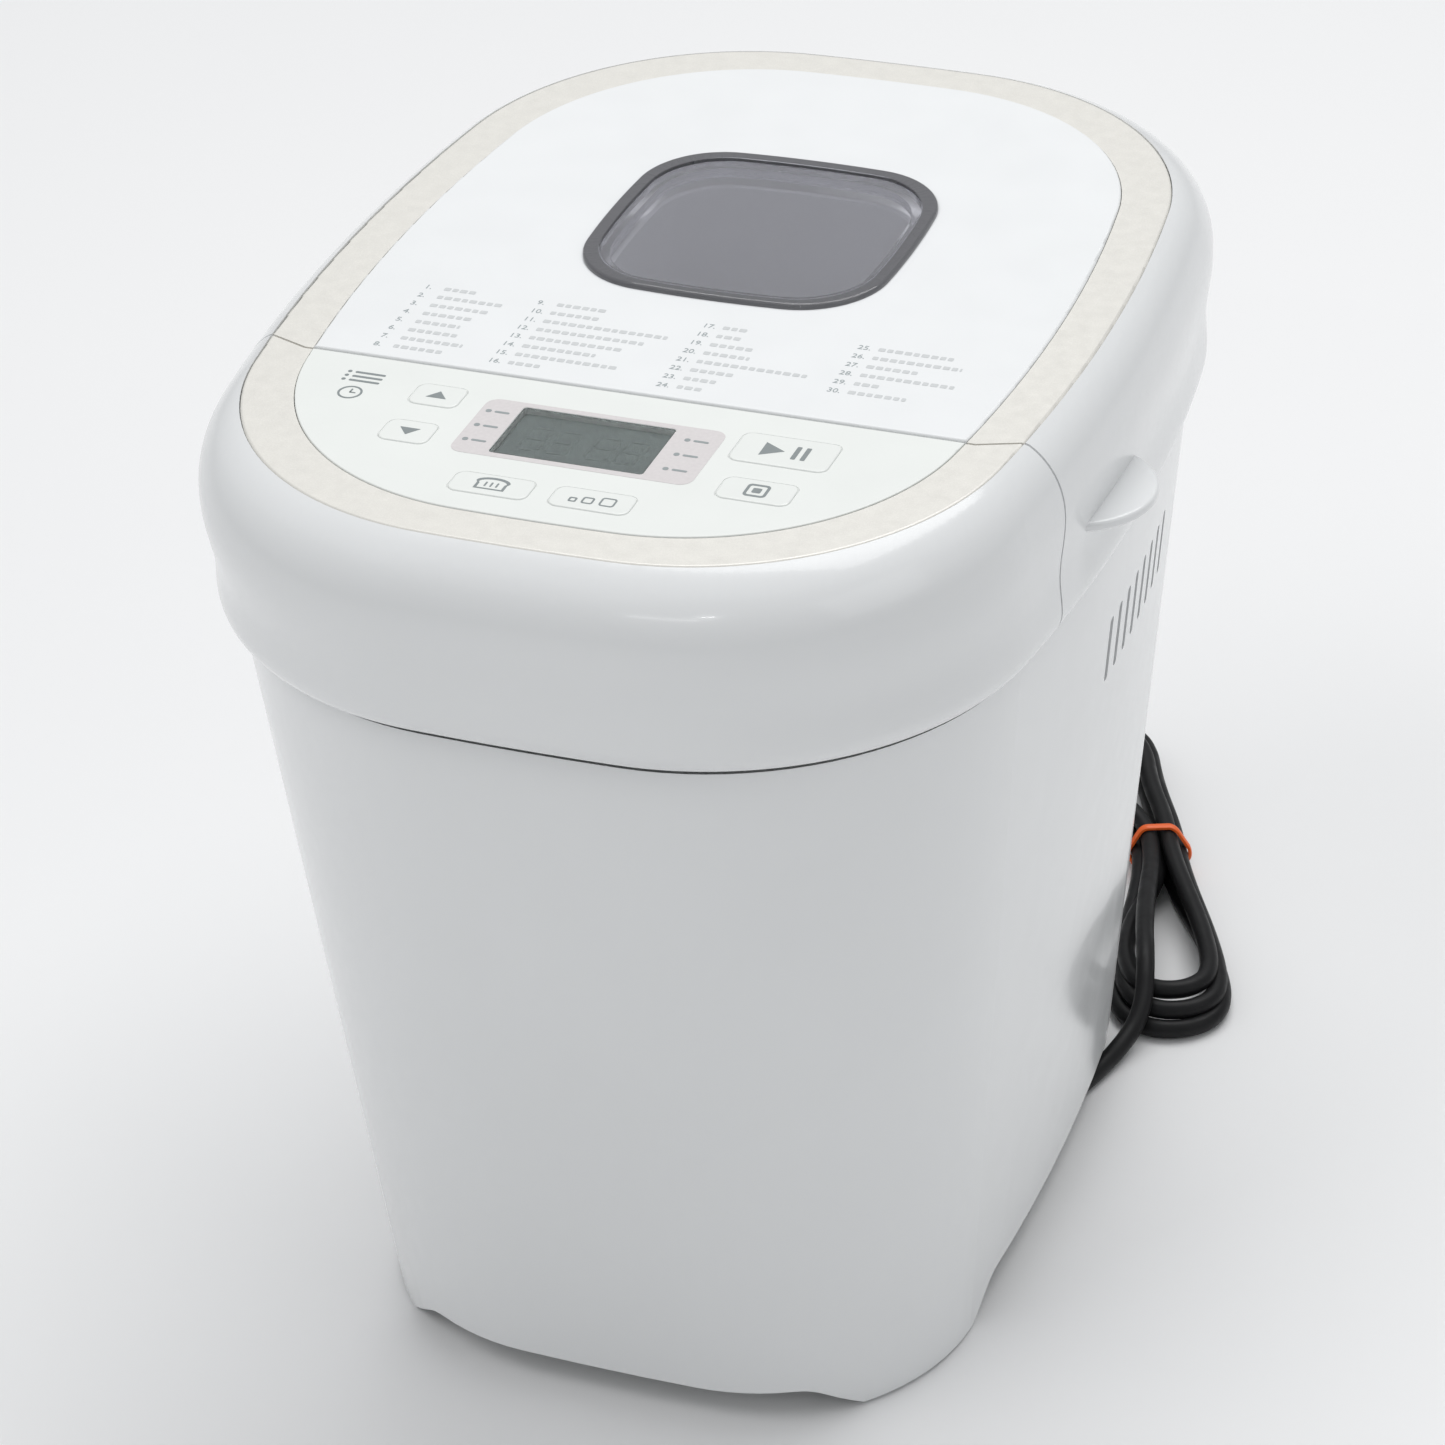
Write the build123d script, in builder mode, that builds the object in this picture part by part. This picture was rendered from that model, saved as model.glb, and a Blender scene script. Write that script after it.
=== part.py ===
"""Home bread machine: tapered body, hinged lid with window, baking chamber, pan and belt drive.

Millimetres, +Z up, +X to the right seen from the front, +Y to the back.
The origin is on the floor, under the centre of the body.
"""
from build123d import *
from math import cos, hypot, pi, radians, sin, sqrt, tan
import os

os.makedirs("parts", exist_ok=True)

# ---------------------------------------------------------------- driving dimensions
# Outline styles: corner, side-bow and front-bow radii, as shares of the half sizes
SOFT = (0.75, 3.9, 6.9)
FIRM = (0.70, 6.0, 10.0)
SQUARISH = (0.56, 6.9, 6.9)

# Body, as half width and half depth at four heights
FLOOR_HALF_X = 91.3
FLOOR_HALF_Y = 123.5
SEAM_HALF_X = 115.3
SEAM_HALF_Y = 152.6
WIDE_HALF_X = 120.6
WIDE_HALF_Y = 162.8
SHOULDER_X = 17.5
SHOULDER_Y = 24.8
SHOULDER_Z = 22.0
SKIRT_Z = 1.0
SEAM_Z = 238.0
SEAM_GAP = 0.6
WIDE_Z = 276.0
RIM_Z = 296.2
WALL = 2.4
SHELL_GAP = 0.3
FIT_GAP = 0.2
PAST = 20.0
CROWN = 4.6
SIDE_MARGIN = 60.0

# Skirt arches between the corner feet
ARCH_HEIGHT = 11.0
ARCH_RUN = 12.0
ARCH_ROUND = 11.0
FRONT_ARCH_HALF = 58.0
SIDE_ARCH_FRONT = -50.0
SIDE_ARCH_BACK = 82.0

# Side vents
VENT_COUNT = 8
VENT_PITCH = 8.6
VENT_LENGTH = 21.0
VENT_WIDTH = 3.0
VENT_MIDDLE_Y = 28.0
VENT_MIDDLE_Z = 200.0

# Joint between the fixed front and the lid
SPLIT_Y = -65.7
SPLIT_SIDE_Y = -61.0
SPLIT_BEND_IN = 95.0
SPLIT_BEND_OUT = 108.0
SPLIT_GAP = 0.4

# Trim ring, top panels and window
BED_Z = 293.8
RING_HALF_X = 110.0
RING_HALF_Y = 148.0
PANEL_HALF_X = 96.7
PANEL_HALF_Y = 135.0
TRIM_GAP = 0.2
TRIM_EDGE = 0.8
CONTROL_EDGE = 0.4
LID_PANEL_EDGE = 0.7
BED_CUT = 10.0
CONTROL_TOP = 296.6
LID_PANEL_TOP = 296.9
OVEN_Y = 32.3
WINDOW_HALF_X = 45.1
WINDOW_HALF_Y = 43.6
WINDOW_RIM = 4.2
WINDOW_PROUD = 1.5
LENS_THICK = 2.6
LENS_EDGE = 1.1
LENS_SKIRT = 5.0
LENS_DISH = 1.0
FRAME_WALL = 1.6
FRAME_FLANGE = 2.0
FRAME_GAP = 0.6

# Lid inner plate and glass
PLATE_Z = 240.4
PLATE_THICK = 1.2
PLATE_GAP = 0.5
PLATE_SPLIT_GAP = 0.4
GLASS_THICK = 3.0
GLASS_HALF_X = 46.0
GLASS_HALF_Y = 44.5
SEAL_INSET = 1.0
SEAL_WIDTH = 4.0
SEAL_THICK = 1.5
STEAM_SLOTS = 5
STEAM_PITCH = 9.0
STEAM_LENGTH = 14.0
STEAM_WIDTH = 3.0
STEAM_BEYOND = 5.0

# Half-moon finger tabs of the lid
TAB_ROOT_X = 114.0
TAB_TIP_X = 131.0
TAB_MIDDLE_Y = -23.5
TAB_HALF = 21.5
TAB_Z = 261.2
TAB_THICK = 3.0
TAB_EDGE = 1.2

# Lid hinge
HINGE_Y = 159.1
HINGE_Z = 238.3
HINGE_X = 45.0
KNUCKLE_R = 3.6
KNUCKLE_LENGTH = 14.0
KNUCKLE_GAP = 0.4
LID_KNUCKLE = 8.0
PIN_R = 1.6
RUNNING = 0.05
LEAF_REACH = 24.0
LEAF_TAPER = 1.5
LEAF_ROOT = 15.0
LEAF_STEP = 6.0

# Control panel: LCD and keys, as centre x, centre y, width, depth
LCD_X = -2.9
LCD_Y = -93.0
LCD_WIDTH = 43.0
LCD_DEPTH = 24.8
LCD_ROUND = 1.0
LCD_WELL = 1.5
LCD_MODULE_MARGIN = 1.0
LCD_CELL_INSET = 0.5
LCD_GLASS_GAP = 0.1
LCD_GLASS = 1.2
LCD_MODULE_BOTTOM = 287.0
LCD_MODULE_TOP = 294.2
KEYS = {
    "key_menu_up": (-48.8, -81.5, 14.0, 11.0),
    "key_menu_down": (-48.6, -101.5, 14.0, 11.0),
    "key_crust": (-16.4, -121.5, 22.0, 10.0),
    "key_size": (11.4, -121.5, 22.0, 10.0),
    "key_start": (49.8, -84.2, 27.0, 15.0),
    "key_cancel": (49.8, -105.2, 20.0, 11.0),
}
KEY_CENTRES = [key[:2] for key in KEYS.values()]
KEY_ROUND = 3.0
KEY_GAP = 0.3
KEY_PROUD = 0.3
KEY_EDGE = 0.5
KEY_CAP_BOTTOM = 294.5
KEY_STEM_R = 2.0
KEY_STEM_GAP = 0.5
KEY_STEM_BOTTOM = 288.6
BOARD_Z = 284.0
BOARD_Y = -98.0
BOARD_WIDTH = 132.0
BOARD_DEPTH = 56.0
BOARD_ROUND = 24.0
BOARD_THICK = 1.6
SWITCH_SIDE = 6.0
SWITCH_HEIGHT = 2.2
CONNECTOR_POINTS = ((-20.0, -84.0), (20.0, -84.0))
CONNECTOR_WIDTH = 14.0
CONNECTOR_DEPTH = 10.0
CONNECTOR_DROP = 3.0

# Deck, baking chamber and element
DECK_Z = 233.0
DECK_THICK = 2.5
DECK_OPENING_Y = -100.0
DECK_OPENING_WIDTH = 120.0
DECK_OPENING_DEPTH = 40.0
DECK_OPENING_ROUND = 10.0
CHAMBER_HALF_X = 84.0
CHAMBER_HALF_Y = 80.0
CHAMBER_ROUND = 28.0
CHAMBER_FLOOR = 66.0
SHEET = 1.0
SHAFT_HOLE_R = 8.0
FLANGE = 5.0
ELEMENT_R = 3.25
ELEMENT_Z = 104.0
ELEMENT_HALF_X = 75.0
ELEMENT_HALF_Y = 71.0
ELEMENT_ROUND = 26.0
ELEMENT_LEG_X = 22.0
ELEMENT_LEG_END = -57.0
ELEMENT_LEG_ROUND = 7.0
ELEMENT_GAP = 0.1
BUSHING_R = 6.0
BUSHING_INSIDE = 3.0
BUSHING_LENGTH = 6.0
BUSHING_COLLAR = 2.0
PROBE_X = 48.0
PROBE_Z = 150.0
PROBE_R = 4.0
PROBE_INSIDE = 12.0
PROBE_LENGTH = 22.0
PROBE_PLATE_WIDTH = 18.0
PROBE_PLATE_HEIGHT = 10.0
PROBE_PLATE_ROUND = 3.0
PROBE_PLATE_THICK = 2.0

# Bread pan, its foot and socket
PAN_HALF_X = 62.0
PAN_HALF_Y = 55.0
PAN_ROUND = 22.0
PAN_BOTTOM = 88.0
PAN_TOP = 226.0
PAN_WALL = 1.2
PAN_LIP = 2.5
PAN_HEEL = 7.0
PAN_RIM_ROUND = 1.0
BUSH_R = 9.0
BUSH_BOTTOM = 83.0
BUSH_FLANGE_R = 12.0
BUSH_FLANGE = 2.0
BUSH_CUT = 5.0
FOOT_R = 30.0
FOOT_HOLLOW_R = 22.0
FOOT_BOTTOM = 67.4
FOOT_TOP_THICK = 3.0
LUG_REACH = 4.0
LUG_ROOT = 4.0
LUG_RISE = 5.0
LUG_THICK = 6.0
LUG_TURN = 6.5
HOOK_TURN = 6.0
HOOK_THICK = 2.5
HOOK_GAP = 1.0
SOCKET_IN_R = 35.0
SOCKET_OUT_R = 39.0
SOCKET_TOP = 80.0
BAIL_R = 2.25
BAIL_HALF_X = 69.5
BAIL_REACH = 64.0
BAIL_ROUND = 30.0
BAIL_Z = 214.0
BAIL_EYE_R = 4.0
PIVOT_BOSS_R = 6.0
PIVOT_BOSS = 4.0
PIVOT_PIN_R = 1.5

# Drive line
SHAFT_R = 4.0
PADDLE_SHAFT_BOTTOM = 74.0
PADDLE_SHAFT_LENGTH = 38.0
PADDLE_SHAFT_EDGE = 0.8
PAN_COUPLING_WIDTH = 9.0
PAN_COUPLING_LENGTH = 34.0
PAN_COUPLING_ROUND = 3.0
PAN_COUPLING_HUB_R = 8.0
PAN_COUPLING_THICK = 5.0
PADDLE_BOTTOM = 91.6
PADDLE_HUB_R = 9.0
PADDLE_HUB_HEIGHT = 19.0
PADDLE_BLADE = ((4.0, 92.6), (38.0, 92.6), (42.0, 98.0), (34.0, 118.0), (20.0, 124.0), (4.0, 110.0))
PADDLE_BLADE_THICK = 3.0
PADDLE_BLADE_ROUND = 3.0
DRIVE_SHAFT_BOTTOM = 20.0
DRIVE_SHAFT_LENGTH = 51.0
DRIVE_COUPLING_Z = 68.5
DRIVE_COUPLING_THICK = 2.3
DRIVE_COUPLING_R = 17.0
DOG_RING_R = 13.0
DOG_R = 3.0
DOG_HEIGHT = 5.5
BEARING_R = 11.0
BEARING_BOTTOM = 36.0
BEARING_LENGTH = 28.0
BEARING_FLANGE_R = 20.0
BEARING_FLANGE = 3.0
DRIVEN_R = 45.0
MOTOR_PULLEY_R = 9.0
PULLEY_Z = 22.0
PULLEY_WIDTH = 12.0
PULLEY_LIP = 1.5
PULLEY_LIP_GAP = 0.5
PULLEY_HOLES = 6
PULLEY_HOLE_R = 8.0
PULLEY_HOLE_RING_R = 26.0
BELT_WIDTH = 9.0
BELT_THICK = 2.6
BELT_CLEAR = 0.3
MOTOR_X = 30.0
MOTOR_Y = -88.0
MOTOR_SHAFT_R = 3.0
MOTOR_SHAFT_BOTTOM = 20.0
MOTOR_SHAFT_LENGTH = 96.0
MOTOR_CAN_R = 26.0
MOTOR_LENGTH = 54.0
MOTOR_HOLE_R = 10.0
STATOR_RISE = 14.0
STATOR_SIDE = 58.0
STATOR_ROUND = 8.0
STATOR_LENGTH = 32.0
FAN_RISE = 60.0
FAN_R = 25.0
FAN_DISC = 1.5
FAN_HUB_R = 7.0
FAN_BLADES = 8
FAN_BLADE_RING_R = 14.5
FAN_BLADE_LENGTH = 18.0
FAN_BLADE_THICK = 1.6
FAN_BLADE_HEIGHT = 9.0
CHASSIS_Z = 42.0
CHASSIS_THICK = 2.0
CHASSIS_WIDTH = 132.0
CHASSIS_DEPTH = 206.0
CHASSIS_ROUND = 30.0

# Power board on edge along the left wall, and its blocks as y, z, width, height, reach
POWER_BOARD_X = -64.0
POWER_BOARD_Y = -84.0
POWER_BOARD_Z = 92.0
POWER_BOARD_DEPTH = 52.0
POWER_BOARD_HEIGHT = 84.0
POWER_BOARD_ROUND = 2.0
POWER_BOARD_THICK = 1.6
POWER_BLOCKS = (
    (-98.0, 66.0, 22.0, 24.0, 18.0),
    (-98.0, 104.0, 18.0, 14.0, 14.0),
    (-72.0, 104.0, 18.0, 14.0, 14.0),
)
CAPACITOR_Y = -70.0
CAPACITOR_Z = 72.0
CAPACITOR_R = 7.0
CAPACITOR_REACH = 22.0

# Base, feet and screws
BASE_Z = 13.0
BASE_THICK = 2.0
GRILLE_PITCH_X = 16.0
GRILLE_PITCH_Y = 46.0
GRILLE_COLUMNS = 5
GRILLE_ROWS = 2
GRILLE_LENGTH = 34.0
GRILLE_WIDTH = 4.0
FOOT_POINTS = ((-62.0, -86.0), (62.0, -86.0), (-62.0, 86.0), (62.0, 86.0))
RUBBER_R = 8.0
RUBBER_ROUND = 1.5
STANDOFF_POINTS = ((-30.0, -70.0), (-56.0, 6.0), (-38.0, 92.0), (52.0, -36.0), (38.0, 92.0))
STANDOFF_R = 4.5
SCREW_R = 2.0
SCREW_LENGTH = 12.0
SCREW_HEAD_R = 3.6
SCREW_HEAD_HEIGHT = 2.2

# Mains cord, laid on the floor: a lead, a folded hank held by a tie, and a tail to the plug
CORD_R = 3.0
CORD_Z = 3.05
TIE_X = 74.0
TIE_Y = 178.0
HANK_ANGLE = 112.0
HANK_HEIGHT = 17.0
HANK_WAIST_R = 10.0
LOW_LOBE_R = 20.5
LOW_LOBE_AT = (-75.0, 3.0)
HIGH_LOBE_R = 21.0
HIGH_LOBE_AT = (62.0, 2.0)
HANK_ROUND = 4.0
TIE_THICK = 1.2
TIE_WIDTH = 3.0
TIE_ROUND = 5.0
LEAD_POINTS = (
    (72.0, 22.0, 5.0),
    (79.5, 38.5, 3.5),
    (85.5, 55.5, 3.05),
    (90.0, 71.0, 3.3),
    (93.6, 83.0, 6.5),
    (94.5, 92.0, 11.5),
)
TAIL_POINTS = (
    (57.0, 197.0, 3.4),
    (45.0, 204.0, 3.1),
    (31.5, 207.5, 4.3),
    (17.5, 207.0, 6.8),
    (4.0, 203.0, 7.2),
)
GLAND_BACK = 14.0
GLAND_SIDE = 14.0
GLAND_ROUND = 2.0
GLAND_UNDER = 1.5
SLEEVE_LENGTH = 10.0
SLEEVE_WIDE_R = 5.0
SLEEVE_NARROW_R = 4.0
PLUG_LENGTH = 30.0
PLUG_ROUND = 4.0
PLUG_STATIONS = ((-2.0, 9.0, 9.0), (10.0, 13.0, 22.0), (PLUG_LENGTH, 14.0, 25.0))
PIN_HALF_PITCH = 6.35
PIN_HEIGHT = 6.3
PIN_THICK = 1.5
PIN_LENGTH = 17.0


# ---------------------------------------------------------------- shared shapes
def flipped(point, side_x, side_y):
    """The point moved to another quarter."""
    return point[0] * side_x, point[1] * side_y


def bowed_outline(half_x, half_y, style):
    """Face bounded by eight tangent arcs: four bowed sides and four wide corners."""
    corner = style[0] * min(half_x, half_y)
    side = style[1] * half_y
    front = style[2] * half_x
    side_centre = half_x - side
    front_centre = half_y - front
    apart = hypot(side_centre, front_centre)
    along = ((side - corner) ** 2 - (front - corner) ** 2 + apart**2) / (2 * apart)
    off = sqrt((side - corner) ** 2 - along**2)
    unit_x = -side_centre / apart
    unit_y = front_centre / apart
    corner_x = side_centre + along * unit_x - off * unit_y
    corner_y = along * unit_y + off * unit_x

    def on_corner(dx, dy):
        return corner_x + corner * dx / hypot(dx, dy), corner_y + corner * dy / hypot(dx, dy)

    side_end = on_corner(corner_x - side_centre, corner_y)
    front_end = on_corner(corner_x, corner_y - front_centre)
    middle = on_corner(side_end[0] + front_end[0] - 2 * corner_x, side_end[1] + front_end[1] - 2 * corner_y)
    with BuildLine() as outline:
        ThreePointArc(flipped(side_end, 1, -1), (half_x, 0), side_end)
        ThreePointArc(side_end, middle, front_end)
        ThreePointArc(front_end, (0, half_y), flipped(front_end, -1, 1))
        ThreePointArc(flipped(front_end, -1, 1), flipped(middle, -1, 1), flipped(side_end, -1, 1))
        ThreePointArc(flipped(side_end, -1, 1), (-half_x, 0), flipped(side_end, -1, -1))
        ThreePointArc(flipped(side_end, -1, -1), flipped(middle, -1, -1), flipped(front_end, -1, -1))
        ThreePointArc(flipped(front_end, -1, -1), (0, -half_y), flipped(front_end, 1, -1))
        ThreePointArc(flipped(front_end, 1, -1), flipped(middle, 1, -1), flipped(side_end, 1, -1))
    make_face(outline.edges())


def lower_half(height):
    """Half width and half depth of the lower body at a height."""
    share = height / SEAM_Z
    half_x = FLOOR_HALF_X + (SEAM_HALF_X - FLOOR_HALF_X) * share
    half_y = FLOOR_HALF_Y + (SEAM_HALF_Y - FLOOR_HALF_Y) * share
    return half_x, half_y


def lower_style(height):
    """Outline style of the lower body, from firm at the floor to soft at the seam."""
    share = height / SEAM_Z
    return tuple(firm + (soft - firm) * share for firm, soft in zip(FIRM, SOFT))


def lower_face(height, inset):
    """Section of the lower body at a height, drawn inward by inset."""
    half_x, half_y = lower_half(height)
    bowed_outline(half_x - inset, half_y - inset, lower_style(height))


def lower_loft(bottom, top, inset, mode=Mode.ADD):
    """Tapered solid of the lower body between two heights."""
    sections = []
    for height in (bottom, top):
        with BuildSketch(Plane.XY.offset(height)) as section:
            lower_face(height, inset)
        sections.append(section.sketch)
    loft(sections, ruled=True, mode=mode)


def upper_half(height):
    """Half width and half depth of the upper body: swelling, then a rounded shoulder."""
    if height <= WIDE_Z:
        swell = sin(pi / 2 * (height - SEAM_Z) / (WIDE_Z - SEAM_Z))
        half_x = SEAM_HALF_X + (WIDE_HALF_X - SEAM_HALF_X) * swell
        half_y = SEAM_HALF_Y + (WIDE_HALF_Y - SEAM_HALF_Y) * swell
    else:
        drop = 1 - sqrt(1 - ((height - WIDE_Z) / SHOULDER_Z) ** 2)
        half_x = WIDE_HALF_X - SHOULDER_X * drop
        half_y = WIDE_HALF_Y - SHOULDER_Y * drop
    return half_x, half_y


UPPER_BOTTOM = SEAM_Z + SEAM_GAP
UPPER_LEVELS = (UPPER_BOTTOM, 257.0, WIDE_Z, 284.0, 290.0, 294.0, RIM_Z)


def upper_loft(inset, drop):
    """Solid of the upper body, drawn inward by inset and lowered by drop."""
    sections = []
    for height in UPPER_LEVELS:
        half_x, half_y = upper_half(height)
        with BuildSketch(Plane.XY.offset(height - drop)) as section:
            bowed_outline(half_x - inset, half_y - inset, SOFT)
        sections.append(section.sketch)
    loft(sections)


def split_side(gap, far_y):
    """Face on one side of the joint between the lid and the fixed front."""
    bend = SPLIT_SIDE_Y + gap
    straight = SPLIT_Y + gap
    end_x = WIDE_HALF_X + SIDE_MARGIN
    with BuildLine() as outline:
        Polyline(
            (-end_x, bend),
            (-SPLIT_BEND_OUT, bend),
            (-SPLIT_BEND_IN, straight),
            (SPLIT_BEND_IN, straight),
            (SPLIT_BEND_OUT, bend),
            (end_x, bend),
            (end_x, far_y),
            (-end_x, far_y),
            close=True,
        )
    make_face(outline.edges())


def keep_side(gap, far_y, bottom, top):
    """Cut the part back to one side of the joint, between two heights."""
    with BuildSketch(Plane.XY.offset(bottom)) as side:
        split_side(gap, far_y)
    extrude(side.sketch, amount=top - bottom, mode=Mode.INTERSECT)


REAR = WIDE_HALF_Y + SIDE_MARGIN
FRONT = -REAR
LOW_CUT = UPPER_BOTTOM - PAST
HIGH_CUT = RIM_Z + PAST


def arch_face(start, end):
    """Opening under the skirt from start to end, with rounded shoulders and toes."""
    with BuildLine() as outline:
        Polyline(
            (start - ARCH_RUN * 2, -ARCH_HEIGHT),
            (start - ARCH_RUN, SKIRT_Z),
            (start, ARCH_HEIGHT),
            (end, ARCH_HEIGHT),
            (end + ARCH_RUN, SKIRT_Z),
            (end + ARCH_RUN * 2, -ARCH_HEIGHT),
            close=True,
        )
    make_face(outline.edges())
    rounded = [v for v in vertices() if v.Y > 0]
    fillet(rounded, radius=ARCH_ROUND)


def round_tube(path_points, radii, radius):
    """Tube along straight runs joined by tangent arcs."""
    with BuildLine() as path:
        FilletPolyline(*path_points, radius=radii)
    route = path.wires()[0]
    with BuildSketch(Plane(origin=route @ 0, z_dir=route % 0)) as section:
        Circle(radius)
    sweep(section.sketch, path=route)
    return route.length


def bend_radii(points):
    """Largest even arc for each corner of a route: 0.45 of the shorter run."""
    radii = []
    for before, corner, after in zip(points, points[1:], points[2:]):
        run_in = Vector(*corner) - Vector(*before)
        run_out = Vector(*after) - Vector(*corner)
        turn = radians(run_in.get_angle(run_out))
        radii.append(0.45 * min(run_in.length, run_out.length) / tan(turn / 2))
    return radii


# ---------------------------------------------------------------- lower body
with BuildPart() as lower_body_shell:
    lower_loft(SKIRT_Z, SEAM_Z, 0)
    lower_loft(-WALL, SEAM_Z + WALL, WALL, Mode.SUBTRACT)
    with BuildSketch(Plane.XZ.offset(-REAR)):
        arch_face(-FRONT_ARCH_HALF, FRONT_ARCH_HALF)
    extrude(amount=2 * REAR, mode=Mode.SUBTRACT)
    with BuildSketch(Plane.YZ.offset(-REAR)):
        arch_face(SIDE_ARCH_FRONT, SIDE_ARCH_BACK)
    extrude(amount=2 * REAR, mode=Mode.SUBTRACT)
    with BuildSketch(Plane.YZ.offset(-REAR)):
        with Locations((VENT_MIDDLE_Y, VENT_MIDDLE_Z)):
            with GridLocations(VENT_PITCH, 0, VENT_COUNT, 1):
                SlotOverall(VENT_LENGTH, VENT_WIDTH, rotation=90)
    extrude(amount=2 * REAR, mode=Mode.SUBTRACT)
lower_body_shell.part.label = "lower_body_shell"
export_step(lower_body_shell.part, "parts/lower_body_shell.step")

with BuildPart() as base_plate:
    with BuildSketch(Plane.XY.offset(BASE_Z)):
        lower_face(BASE_Z, WALL + SHELL_GAP)
        with GridLocations(GRILLE_PITCH_X, GRILLE_PITCH_Y, GRILLE_COLUMNS, GRILLE_ROWS):
            SlotOverall(GRILLE_LENGTH, GRILLE_WIDTH, rotation=90, mode=Mode.SUBTRACT)
        with Locations(*FOOT_POINTS, *STANDOFF_POINTS):
            Circle(SCREW_R + RUNNING, mode=Mode.SUBTRACT)
    extrude(amount=BASE_THICK)
base_plate.part.label = "base_plate"
export_step(base_plate.part, "parts/base_plate.step")

with BuildPart() as rubber_feet:
    with BuildSketch():
        with Locations(*FOOT_POINTS):
            Circle(RUBBER_R)
    extrude(amount=BASE_Z)
    with Locations(*[(x, y, BASE_Z + BASE_THICK) for x, y in FOOT_POINTS]):
        Cylinder(SCREW_R, BASE_THICK, align=(Align.CENTER, Align.CENTER, Align.MAX))
    rims = rubber_feet.edges().filter_by(GeomType.CIRCLE).group_by(Axis.Z)[0]
    fillet(rims, radius=RUBBER_ROUND)
rubber_feet.part.label = "rubber_feet"
export_step(rubber_feet.part, "parts/rubber_feet.step")

with BuildPart() as standoffs:
    with BuildSketch(Plane.XY.offset(BASE_Z + BASE_THICK)):
        with Locations(*STANDOFF_POINTS):
            Circle(STANDOFF_R)
            Circle(SCREW_R + RUNNING, mode=Mode.SUBTRACT)
    extrude(amount=CHASSIS_Z - BASE_Z - BASE_THICK)
standoffs.part.label = "standoffs"
export_step(standoffs.part, "parts/standoffs.step")

with BuildPart() as base_screws:
    with Locations(*[(x, y, BASE_Z) for x, y in STANDOFF_POINTS]):
        Cylinder(SCREW_HEAD_R, SCREW_HEAD_HEIGHT, align=(Align.CENTER, Align.CENTER, Align.MAX))
        Cylinder(SCREW_R, SCREW_LENGTH, align=(Align.CENTER, Align.CENTER, Align.MIN))
base_screws.part.label = "base_screws"
export_step(base_screws.part, "parts/base_screws.step")

with BuildPart() as top_deck:
    with BuildSketch(Plane.XY.offset(DECK_Z)):
        lower_face(DECK_Z, WALL + SHELL_GAP)
        with Locations((0, OVEN_Y)):
            RectangleRounded(
                2 * (CHAMBER_HALF_X + FIT_GAP),
                2 * (CHAMBER_HALF_Y + FIT_GAP),
                CHAMBER_ROUND,
                mode=Mode.SUBTRACT,
            )
        with Locations((0, DECK_OPENING_Y)):
            RectangleRounded(
                DECK_OPENING_WIDTH, DECK_OPENING_DEPTH, DECK_OPENING_ROUND, mode=Mode.SUBTRACT
            )
    extrude(amount=DECK_THICK)
top_deck.part.label = "top_deck"
export_step(top_deck.part, "parts/top_deck.step")

# ---------------------------------------------------------------- fixed front of the upper body
with BuildPart() as front_cavity:
    upper_loft(WALL, CROWN)
    keep_side(-SPLIT_GAP - WALL, FRONT, LOW_CUT, HIGH_CUT)

with BuildPart() as upper_front_shell:
    upper_loft(0, 0)
    keep_side(-SPLIT_GAP, FRONT, LOW_CUT, HIGH_CUT)
    add(front_cavity.part, mode=Mode.SUBTRACT)
    with BuildSketch(Plane.XY.offset(BED_Z)):
        bowed_outline(RING_HALF_X + TRIM_GAP, RING_HALF_Y + TRIM_GAP, SOFT)
    extrude(amount=PAST, mode=Mode.SUBTRACT)
    with BuildSketch(Plane.XY.offset(BED_Z)):
        with Locations((LCD_X, LCD_Y)):
            Rectangle(LCD_WIDTH + 2 * LCD_WELL, LCD_DEPTH + 2 * LCD_WELL)
        with Locations(*KEY_CENTRES):
            Circle(KEY_STEM_R + KEY_STEM_GAP)
    extrude(amount=-BED_CUT, mode=Mode.SUBTRACT)
upper_front_shell.part.label = "upper_front_shell"
export_step(upper_front_shell.part, "parts/upper_front_shell.step")

with BuildPart() as front_trim_ring:
    with BuildSketch(Plane.XY.offset(BED_Z)):
        bowed_outline(RING_HALF_X, RING_HALF_Y, SOFT)
    extrude(amount=RIM_Z - BED_Z)
    fillet(front_trim_ring.faces().sort_by(Axis.Z)[-1].edges(), radius=TRIM_EDGE)
    with BuildSketch(Plane.XY.offset(BED_Z)):
        bowed_outline(PANEL_HALF_X, PANEL_HALF_Y, SOFT)
    extrude(amount=RIM_Z - BED_Z, mode=Mode.SUBTRACT)
    keep_side(-SPLIT_GAP, FRONT, LOW_CUT, HIGH_CUT)
front_trim_ring.part.label = "front_trim_ring"
export_step(front_trim_ring.part, "parts/front_trim_ring.step")

with BuildPart() as control_panel:
    with BuildSketch(Plane.XY.offset(BED_Z)):
        bowed_outline(PANEL_HALF_X - TRIM_GAP, PANEL_HALF_Y - TRIM_GAP, SOFT)
    extrude(amount=CONTROL_TOP - BED_Z)
    keep_side(-SPLIT_GAP, FRONT, LOW_CUT, HIGH_CUT)
    fillet(control_panel.faces().sort_by(Axis.Z)[-1].edges(), radius=CONTROL_EDGE)
    with BuildSketch(Plane.XY.offset(BED_Z)):
        with Locations((LCD_X, LCD_Y)):
            RectangleRounded(LCD_WIDTH, LCD_DEPTH, LCD_ROUND)
        for key_x, key_y, key_width, key_depth in KEYS.values():
            with Locations((key_x, key_y)):
                RectangleRounded(key_width + 2 * KEY_GAP, key_depth + 2 * KEY_GAP, KEY_ROUND)
    extrude(amount=CONTROL_TOP - BED_Z, mode=Mode.SUBTRACT)
control_panel.part.label = "control_panel"
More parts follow.
